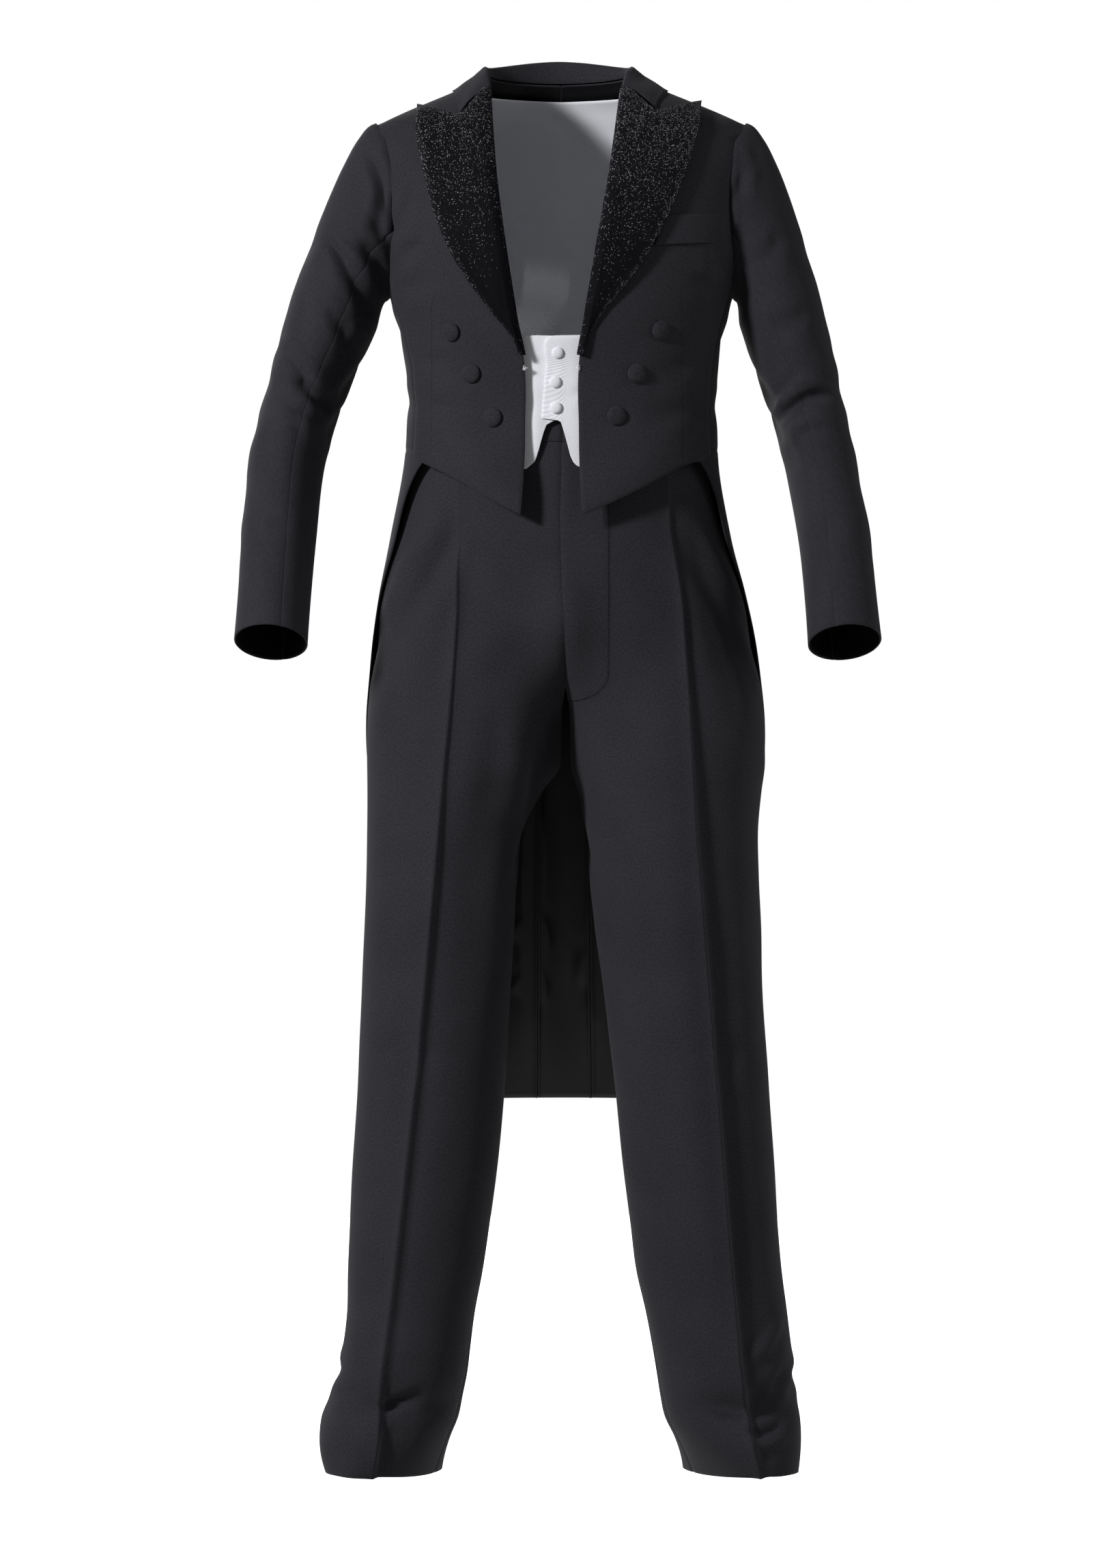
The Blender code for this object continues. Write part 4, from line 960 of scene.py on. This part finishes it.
@made_once
def glitter_facing(lit_lapel_gain):
    """Black facing with fine glitter in twill rows, denser along the edges. The glitter's glints are painted
    as bright dots of base colour, and a first argument above 1 paints a lighter copy with more and brighter
    dots: painted light.
    """
    colours = bpy.context.scene.suit_colours
    finish = Finish("glitter_lapel_facing")
    cells = {"voronoi_dimensions": "2D"}
    rows = finish.cloth_map(28, (1.0, 1.35, 1))
    sockets = {"Vector": rows, "Scale": 840, "Randomness": 0.9}
    away = finish.node("ShaderNodeTexVoronoi", cells, sockets, 0)
    flake = finish.node("ShaderNodeTexVoronoi", cells, sockets, 1)
    from_edge = finish.node("ShaderNodeAttribute", {"attribute_name": "from_edge"}, {}, 2)
    down = finish.across(finish.cloth_map(), 1)
    near_edge = (1 - from_edge * 130).clamped()
    high = (1 + down * 4.5).clamped()
    patches = finish.noise(finish.cloth_map(), 55, 2)
    painted_sheen = finish.noise(rows, 1500, 2)
    # Painted glints and sheen: the flakes' reflections are bright base colour, and fine noise near the top
    # and edges is a painted sheen. Above 1, the first argument gives more dots and a lighter ground, which is
    # painted light.
    wanted = near_edge * 0.20 + high * 0.24 + patches * 0.10 - 0.06 + 0.06 * (lit_lapel_gain - 1)
    own = finish.across(flake, 1)
    bright = (finish.across(flake) + wanted).above(1.0) * (0.30 - away).above(0.0) * (own * own * 1.1 + 0.09)
    bright = ((bright + (painted_sheen - 0.5).clamped() * (high + near_edge) * 0.16) * lit_lapel_gain).clamped()
    twill = (finish.across(rows) * (2 * math.pi / 0.0010)).sine()
    ground = finish.mixed(patches, shaded(colours.facing, 0.7 * lit_lapel_gain), shaded(colours.facing, 1.5 * lit_lapel_gain))
    return finish.surface(
        Base_Color=finish.mixed(bright, ground, shaded(colours.glitter, 1)),
        Roughness=0.66 - bright * 0.20,
        Normal=finish.bumped(twill, 0.25, 0.0002),
        Specular_IOR_Level=0.03,
    )


@made_once
def white_pique(mapped=True):
    """White cotton pique: fine diagonal ribs with small cells between them, with painted shade in their
    hollows.
    """
    colour = bpy.context.scene.suit_colours.pique
    finish = Finish("white_pique_cloth" if mapped else "white_pique_cover")
    if mapped:
        turned = finish.cloth_map(52)
        rib = (finish.across(turned) * (2 * math.pi / 0.0016)).sine()
        cell = (finish.across(turned, 1) * (2 * math.pi / 0.0011)).sine()
    else:
        place = finish.object_map()
        rib = ((finish.across(place, 0) * 0.75 + finish.across(place, 2)) * (2 * math.pi / 0.0014)).sine()
        cell = ((finish.across(place, 0) - finish.across(place, 2)) * (2 * math.pi / 0.0011)).sine()
    place = finish.cloth_map() if mapped else finish.object_map()
    thread = finish.noise(place, 2200, 2)
    relief = rib * 0.5 + cell * 0.14 + thread * 0.25
    # Painted shade: the ribs and cells are darker in colour where the relief dips; the thread noise is tone
    # that differs at random.
    tone = (rib * 0.30 + cell * 0.08 + thread * 0.25 + 0.45).clamped()
    return finish.surface(
        Base_Color=finish.mixed(tone, shaded(colour, 0.80), shaded(colour, 1.04)),
        Roughness=0.86 - thread * 0.06,
        Normal=finish.bumped(relief, 0.55, 0.00030),
        Specular_IOR_Level=0.25,
        Sheen_Weight=0.06,
    )


@made_once
def black_satin():
    """Black satin lining inside the coat."""
    colour = bpy.context.scene.suit_colours.lining
    finish = Finish("black_satin_lining")
    place = finish.cloth_map(0, (1, 0.18, 1))
    threads = finish.noise(place, 1400, 2)
    slow = finish.noise(finish.cloth_map(), 25, 2)
    return finish.surface(
        Base_Color=finish.mixed(slow, shaded(colour, 0.8), shaded(colour, 1.3)),
        Roughness=threads * 0.14 + 0.34,
        Normal=finish.bumped(threads * 0.7 + slow, 0.25, 0.0003),
        Specular_IOR_Level=0.22,
    )


@made_once
def hook_steel():
    """Bright wire with fine drawing marks."""
    colour = bpy.context.scene.suit_colours.steel
    finish = Finish("hook_steel_wire")
    marks = finish.noise(finish.object_map(), 2600, 3)
    return finish.surface(
        Base_Color=finish.mixed(marks, shaded(colour, 0.75), shaded(colour, 1.25)),
        Roughness=marks * 0.15 + 0.18,
        Metallic=1.0,
        Normal=finish.bumped(marks, 0.15, 0.0001),
    )


@made_once
def pale_floor():
    """Nearly white floor that glows a little more away from the middle."""
    finish = Finish("pale_floor")
    spot = finish.object_map()
    speckle = finish.noise(spot, 30, 2)
    x, y = finish.across(spot, 0), finish.across(spot, 1)
    away = ((x * x + y * y) * 0.35 - 0.15).clamped()
    return finish.surface(
        Base_Color=finish.mixed(speckle, (0.90, 0.90, 0.91, 1), (0.94, 0.94, 0.95, 1)),
        Roughness=0.9,
        Emission_Color=finish.mixed(away, (0.90, 0.90, 0.90, 1), (0.94, 0.94, 0.94, 1)),
        Emission_Strength=1.0,
    )


@made_once
def dark_thread_and_shade_line():
    """Twisted sewing thread, darker than the wool: partly the thread's own black and partly painted shade of
    the stitches' groove. It also makes the sunk dart and fold lines, which are painted shade only.
    """
    finish = Finish("sewing_thread_black")
    colour = bpy.context.scene.suit_colours.wool
    twist = finish.noise(finish.object_map(), 2400, 2)
    return finish.surface(
        Base_Color=finish.mixed(twist, shaded(colour, 0.15), shaded(colour, 0.55)),
        Roughness=twist * 0.1 + 0.75,
        Specular_IOR_Level=0.06,
        Normal=finish.bumped(twist, 0.3, 0.0001),
    )


# Pieces


def standing_off(surface, cut):
    """The lower fronts of the coat, which stand away from the trousers towards their tips."""
    front_edge = cut["end"] if surface[..., 0].mean() < 0 else cut["start"]
    low = soft_step(1 - cut["foot"] / FOOT_REACH)
    return low * (SEAM_LAP + TIP_LIFT * soft_step(1 - front_edge / TIP_WIDTH))


class SUIT_OT_coat_body(bpy.types.Operator):
    """Fronts, side bodies, backs with their tails, and skirts, with the breast welt."""

    bl_idname = "suit.coat_body"
    bl_label = "Coat body"

    def execute(self, context):
        materials = (wool(), black_satin())
        seams = {
            # borders as they lie on the right half, seen from outside
            "coat_front": ("start", "top"),
            "coat_side": ("start", "end", "top", "foot"),
            "coat_back": ("start", "end", "top"),
            "coat_skirt": ("start", "top"),
        }
        other = {"start": "end", "end": "start"}
        for part, sewn in seams.items():
            for side in SIDES:
                borders = sewn if side == "right" else [other.get(border, border) for border in sewn]
                choices = {"folds": COAT_FOLDS, "seams": borders, "limits": (-0.0016, 0.006)}
                if part == "coat_front":
                    choices.update(limits=(-0.0035, 0.016), foot=COAT_FEET[side], shape=standing_off)
                dress(Panel(f"{part}_{side}", COAT_WALL, "black_wool", materials, **choices))
        choices = {"folds": COAT_FOLDS, "ease": 0.3, "rests_on": ("coat_front_left_cloth",)}
        dress(Panel("breast_welt", WELT_WALL, "black_wool", (wool(),), finer=0.4, **choices))
        return {"FINISHED"}


def standing_up(surface, cut):
    """A lapel whose outer edge stands up from the coat, less towards its foot."""
    outer_edge = cut["start"] if surface[..., 0].mean() < 0 else cut["end"]
    along = soft_step((cut["foot"] - 0.02) / 0.15) * (0.25 + 0.75 * soft_step(cut["top"] / 0.06))
    return LAPEL_LIFT * soft_step(1 - outer_edge / LAPEL_WIDTH) * along


def lying_down(surface, cut):
    """The collar's outer edge pressed down onto the coat."""
    return -COLLAR_PRESS * np.exp(-((cut["foot"] / COLLAR_WIDTH) ** 2))


class SUIT_OT_collar_and_lapels(bpy.types.Operator):
    """The wool collar and the two glittering peak lapels."""

    bl_idname = "suit.collar_and_lapels"
    bl_label = "Collar and lapels"

    def execute(self, context):
        choices = {"centre": None, "ease": 0.3, "held": "folded", "finer": 0.6, "shape": lying_down}
        dress(Panel("coat_collar", COLLAR_WALL, "black_wool", (wool(),), **choices))
        for side in SIDES:
            choices = {"ease": 0.4, "held": "folded", "finer": 0.7, "rests_on": (f"coat_front_{side}_cloth",)}
            choices.update(shape=standing_up, limits=(-0.005, 0.007))
            # Painted light: the left lapel gets a lighter copy of the facing, with more and brighter glitter.
            materials = (glitter_facing(1.0 if side == "right" else 1.5),)
            dress(Panel(f"lapel_{side}", LAPEL_WALL, "glitter_facing", materials, **choices))
        return {"FINISHED"}


class SUIT_OT_sleeves(bpy.types.Operator):
    """Top and under sleeves."""

    bl_idname = "suit.sleeves"
    bl_label = "Sleeves"

    def execute(self, context):
        materials = (wool(), black_satin())
        for side in SIDES:
            for part in ("sleeve_top", "sleeve_under"):
                choices = {"folds": SLEEVE_FOLDS[side], "centre": None, "seams": ("start", "end", "top")}
                choices.update(tuck=SLEEVE_TUCK[part], limits=(-0.008, 0.004), seam_depth=0.35)
                dress(Panel(f"{part}_{side}", SLEEVE_WALL, "black_wool", materials, finer=0.7, **choices))
        return {"FINISHED"}


class SUIT_OT_waistcoat(bpy.types.Operator):
    """The white waistcoat's fronts and back."""

    bl_idname = "suit.waistcoat"
    bl_label = "Waistcoat"

    def execute(self, context):
        for part in ("front_right", "front_left", "back"):
            choices = {"folds": WAISTCOAT_FOLDS, "ease": 0.4, "limits": (-0.001, 0.001)}
            choices["foot"] = WAISTCOAT_FEET.get(part.removeprefix("front_"))
            choices["finer"] = 1.1 if part == "back" else 0.56
            dress(Panel(f"waistcoat_{part}", WAISTCOAT_WALL, "white_pique", (white_pique(),), **choices))
        return {"FINISHED"}


def pressed_crease(surface, cut):
    """The crease pressed down the middle of a trouser panel."""
    height = surface[..., 2] + HOLD_HEIGHT
    strength = PRESSED_LEAST + (1 - PRESSED_LEAST) * soft_step((PRESSED_TOP - height) / PRESSED_FADE)
    return PRESSED_CREASE * strength * np.exp(-abs(cut["crease"]) / PRESSED_WIDTH)


def front_crease(surface, cut):
    """The front's pressed crease, where the cloth turns back sharply on the left of the ridge."""
    height = surface[..., 2] + HOLD_HEIGHT
    opens = CREASE_OPENS["right" if surface[..., 0].mean() < 0 else "left"]
    low = soft_step((CREASE_HIP - height) / (CREASE_HIP - CREASE_LOW))
    strength = soft_step((opens - height) / CREASE_OPENING)
    turn = CREASE_TURN + (CREASE_TURN_LOW - CREASE_TURN) * low
    beside = np.maximum(cut["crease"], 0)
    drop = CREASE_DROP * turn * soft_step(beside / turn) * np.exp(-((beside / (0.012 + 3 * turn)) ** 2))
    at_hem = HEM_SHARE + (1 - HEM_SHARE) * soft_step((height - HEM_HEIGHT) / HEM_REACH)
    return (pressed_crease(surface, cut) - drop * strength) * at_hem


def left_fly(surface, cut):
    """The pressed crease, and the fly's turned layer inside its stitched line."""
    height = surface[..., 2] + HOLD_HEIGHT
    across = surface[..., 0]
    wide, tall = FLY_LINE - FLY_FOOT[0], FLY_TURN - FLY_FOOT[1]
    below = np.hypot((across - FLY_FOOT[0]) / wide, np.minimum(height - FLY_TURN, 0) / tall)
    inside = np.where(height > FLY_TURN, FLY_LINE - across, (1 - below) * tall)
    return front_crease(surface, cut) + FLY_RISE * soft_step(inside / 0.0030)


class SUIT_OT_trousers(bpy.types.Operator):
    """Front and back trouser panels with their pressed creases, and the waistband."""

    bl_idname = "suit.trousers"
    bl_label = "Trousers"

    def execute(self, context):
        for side in SIDES:
            for part in ("trouser_front", "trouser_back"):
                choices = {"folds": TROUSER_FOLDS[side], "centre": None, "seams": ("start", "end")}
                choices.update(limits=(-0.010, 0.006), breaks=(CREASE_COLUMN,), shape=pressed_crease)
                if part == "trouser_front":
                    shape = front_crease if side == "right" else left_fly
                    choices.update(shape=shape, crease=FRONT_CREASES[side])
                dress(Panel(f"{part}_{side}", TROUSER_WALL, "black_wool", (wool(),), held="hung", **choices))
            choices = {"ease": 0.2, "limits": (-0.0005, 0.0005)}
            dress(Panel(f"waistband_{side}", BAND_WALL, "black_wool", (wool(),), **choices))
        return {"FINISHED"}


# The middle of the arm inside each cuff: across, depth
ARM_MIDDLES = {"cuff_button_right": (-0.311, -0.085), "cuff_button_left": (0.299, -0.085)}
# How far a button's edge stands off the cloth, as a share of its radius
SHANK = 0.17
BUTTON_PROFILE = (
    # across and out, in thousandths of the radius
    (0, 300), (180, 295), (360, 280), (540, 252), (700, 210), (830, 154), (920, 96), (975, 40),
    (1000, -18), (985, -56), (930, -78), (800, -86), (340, -90), (300, -120), (300, -300), (0, -300),
)


def ring_faces(first, rings, sides):
    """The faces between rings of points, numbered ring by ring from the first point."""
    faces = []
    for start in range(first, first + (rings - 1) * sides, sides):
        for side in range(sides):
            turn = (side + 1) % sides
            faces.append((start + side, start + turn, start + sides + turn, start + sides + side))
    return faces


def turned_piece(name, profile, radius, place, axis, material, sides=56):
    """A piece turned round an axis from its profile, first and last points on the axis."""
    turn = Vector(axis).to_track_quat("Z", "Y").to_matrix()
    angles = [2 * math.pi * side / sides for side in range(sides)]
    profile = np.array(profile) / 1000 * radius
    points = [(0, 0, profile[0][1])]
    for across, out in profile[1:-1]:
        points += [(across * math.cos(angle), across * math.sin(angle), out) for angle in angles]
    points.append((0, 0, profile[-1][1]))
    faces = [(0, 1 + side, 1 + (side + 1) % sides) for side in range(sides)]
    faces += [face[:1] + face[:0:-1] for face in ring_faces(1, len(profile) - 2, sides)]
    last = len(points) - 1 - sides
    faces += [(last + (side + 1) % sides, last + side, len(points) - 1) for side in range(sides)]
    return made_piece(name, [turn @ Vector(point) + Vector(place) for point in points], faces, [material])


def button_seat(node, centre_line):
    """A button node's middle, outward axis and radius."""
    points, _ = node_mesh(node)
    middle = points.mean(axis=0)
    _, _, axes = np.linalg.svd(points - middle)
    axis = axes[2]
    if axis @ (middle - centre_line) < 0:
        axis = -axis
    flat = points - middle
    flat -= np.outer(flat @ axis, axis)
    heights = (points - middle) @ axis
    radius = float(np.linalg.norm(flat, axis=1).max())
    back = middle + axis * (heights.min() + SHANK * radius)
    return back, axis, radius


def wire(name, paths, radius, material, sides):
    """Round wires or threads that follow paths of points, as one piece."""
    points = []
    faces = []
    for path in paths:
        path = np.array(path, float)
        ahead = np.gradient(path, axis=0)
        ahead /= np.linalg.norm(ahead, axis=1, keepdims=True)
        # Any direction that no path starts along
        across = np.cross(ahead[0], (0.31, 0.77, 0.55))
        first = len(points)
        for place, along in zip(path, ahead):
            across = across - along * (across @ along)
            across /= np.linalg.norm(across)
            beside = np.cross(along, across)
            for side in range(sides):
                angle = 2 * math.pi * side / sides
                points.append(place + radius * (math.cos(angle) * across + math.sin(angle) * beside))
        faces += ring_faces(first, len(path), sides)
        faces.append(tuple(range(first + sides - 1, first - 1, -1)))
        faces.append(tuple(range(len(points) - sides, len(points))))
    piece = made_piece(name, [tuple(point) for point in points], faces, [material])
    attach(piece, "root")
    return piece


def on_front(path, carrier, lift):
    """A path of across and height, laid on a piece's front, with points a millimetre apart."""
    path = np.array(path, float)
    along = np.concatenate([[0], np.cumsum(np.linalg.norm(np.diff(path, axis=0), axis=1))])
    fine = np.linspace(0, along[-1], math.ceil(along[-1] / 0.001) + 1)
    laid = []
    for x, height in zip(*(np.interp(fine, along, path[:, axis]) for axis in range(2))):
        hit, place, normal, _ = bpy.data.objects[carrier].ray_cast((x, -1, height - HOLD_HEIGHT), (0, 1, 0))
        if hit:
            laid.append(place + normal * lift)
    return laid


def stitches(laid):
    """Stitches two steps long, sunk at both ends, with one step left out after each."""
    runs = []
    for first in range(0, len(laid) - 3, 3):
        run = np.array(laid[first : first + 3])
        run[::2, 1] += STITCH_SUNK
        runs.append(run)
    return runs


class SUIT_OT_sewing(bpy.types.Operator):
    """The fly's topstitching, dark threads sunk along the fly's fold and the coat fronts' darts that paint
    the shade of their grooves, and the hook and eye.
    """

    bl_idname = "suit.sewing"
    bl_label = "Sewing"

    def execute(self, context):
        turn = [math.radians(90 * step / 12) for step in range(13)]
        wide, tall = FLY_LINE - FLY_FOOT[0], FLY_TURN - FLY_FOOT[1]
        curve = [(FLY_FOOT[0] + wide * math.cos(t), FLY_TURN - tall * math.sin(t)) for t in turn]
        laid = on_front([(FLY_LINE, FLY_TOP), *curve], "trouser_front_left_cloth", THREAD / 2)
        self.thread_and_shade_lines("fly_stitches", stitches(laid))
        # Painted shade: a dark thread half sunk along the edge of the fly's turned layer stands for the shade
        # of the groove there.
        inside = [(x - FLY_INSET[0], height + FLY_INSET[1]) for x, height in curve]
        top = (FLY_LINE - FLY_INSET[0], FLY_TOP)
        laid = on_front([top, *inside], "trouser_front_left_cloth", -THREAD / 2)
        self.thread_and_shade_lines("fly_fold_line", [laid])
        # Painted shade: dark threads sunk into the coat fronts along the darts stand for the shade of the
        # dart seams.
        for side, path in DART_LINES.items():
            laid = on_front(path, f"coat_front_{side}_cloth", -THREAD * 0.65)
            self.thread_and_shade_lines(f"dart_line_{side}", [laid])
        for node, inward in (("front_hook", 1), ("front_eye", -1)):
            low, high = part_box(node)
            middle = (np.array(low) + np.array(high)) / 2
            paths = []
            for path in HOOK_WIRE if node == "front_hook" else EYE_WIRE:
                steps = [(inward * (along - HOOK_INSET), -out, up) for along, up, out in path]
                paths.append(middle + np.array(steps) / 1000)
            piece = wire(f"{node}_wire", paths, HOOK_GAUGE, hook_steel(), 12)
            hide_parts(node)
        return {"FINISHED"}

    def thread_and_shade_lines(self, name, runs):
        piece = wire(name, runs, THREAD, dark_thread_and_shade_line(), 6)


class SUIT_OT_buttons(bpy.types.Operator):
    """Covered buttons of the coat's fronts, cuffs and waistcoat."""

    bl_idname = "suit.buttons"
    bl_label = "Buttons"

    def execute(self, context):
        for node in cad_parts:
            if "button" not in node:
                continue
            low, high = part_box(node)
            middle = ARM_MIDDLES.get(node, (0, 0))
            place, axis, radius = button_seat(node, np.array((*middle, (low[2] + high[2]) / 2)))
            white = node.startswith("waistcoat")
            material = white_pique(False) if white else wool(False)
            piece = turned_piece(node + "_covered", BUTTON_PROFILE, radius, place, axis, material)
            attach(piece, "root")
            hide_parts(node)
        return {"FINISHED"}


class SUIT_OT_stage(bpy.types.Operator):
    """Camera, pale floor, bright surround and the studio lights."""

    bl_idname = "suit.stage"
    bl_label = "Stage"

    def execute(self, context):
        scene = context.scene
        stage = scene.suit_stage
        camera = bpy.data.objects.new("camera", bpy.data.cameras.new("camera"))
        scene.collection.objects.link(camera)
        scene.camera = camera
        camera.data.sensor_width = 36
        camera.data.lens = CAMERA_LENS
        camera.data.clip_end = 60
        camera.location = (CAMERA_ACROSS, -stage.camera_distance, CAMERA_HEIGHT - HOLD_HEIGHT)
        camera.rotation_euler = (math.radians(90 - CAMERA_DIP), 0, 0)
        turns = [2 * math.pi * step / 96 for step in range(96)]
        rim = [Vector((math.cos(turn), math.sin(turn), 0)) * stage.floor_radius for turn in turns]
        points = [place - Vector((0, 0, HOLD_HEIGHT)) for place in rim]
        floor = made_piece("floor", points, [tuple(range(96))], [pale_floor()])
        floor.visible_diffuse = False
        for name, (size, place, target) in LIGHTS.items():
            light = bpy.data.objects.new(name, bpy.data.lights.new(name, "AREA"))
            light.data.energy = getattr(stage, f"{name}_power")
            light.data.size = size
            light.location = place
            light.rotation_euler = (Vector(target) - Vector(place)).to_track_quat("-Z", "Y").to_euler()
            scene.collection.objects.link(light)
        surround = Finish("studio", "worlds")
        seen = surround.node("ShaderNodeLightPath", {}, {})
        strength = surround.node("ShaderNodeMix", {}, {"Factor": seen, "A": stage.surround, "B": 1.0})
        sockets = {"Color": (1, 1, 1, 1), "Strength": strength}
        background = surround.node("ShaderNodeBackground", {}, sockets)
        surround.node("ShaderNodeOutputWorld", {}, {"Surface": background})
        scene.world = surround.owner
        scene.view_settings.view_transform = "Standard"
        return {"FINISHED"}


class SUIT_PT_panel(bpy.types.Panel):
    """Lists the suit's sizes, colours and pieces."""

    bl_idname = "SUIT_PT_panel"
    bl_label = "Tailcoat Suit"
    bl_space_type = "VIEW_3D"
    bl_region_type = "UI"
    bl_category = "Tailcoat"

    def draw(self, context):
        column = self.layout.column()
        for group in (context.scene.suit_cloth, context.scene.suit_colours, context.scene.suit_stage):
            for name in group.bl_rna.properties.keys():
                if name not in ("rna_type", "name"):
                    column.prop(group, name)
        for operator in OPERATORS:
            column.operator(operator.bl_idname)


OPERATORS = (
    SUIT_OT_stage,
    SUIT_OT_coat_body,
    SUIT_OT_collar_and_lapels,
    SUIT_OT_sleeves,
    SUIT_OT_waistcoat,
    SUIT_OT_trousers,
    SUIT_OT_buttons,
    SUIT_OT_sewing,
)
GROUPS = {"suit_cloth": SuitCloth, "suit_colours": SuitColours, "suit_stage": SuitStage}


def register():
    for group in GROUPS.values():
        bpy.utils.register_class(group)
    for name, group in GROUPS.items():
        setattr(bpy.types.Scene, name, bpy.props.PointerProperty(type=group))
    for operator in OPERATORS:
        bpy.utils.register_class(operator)
    bpy.utils.register_class(SUIT_PT_panel)


def unregister():
    bpy.utils.unregister_class(SUIT_PT_panel)
    for operator in reversed(OPERATORS):
        bpy.utils.unregister_class(operator)
    for name, group in GROUPS.items():
        delattr(bpy.types.Scene, name)
        bpy.utils.unregister_class(group)


def main():
    register()
    for operator in OPERATORS:
        group, name = operator.bl_idname.split(".")
        getattr(getattr(bpy.ops, group), name)()


if __name__ == "__main__":
    main()
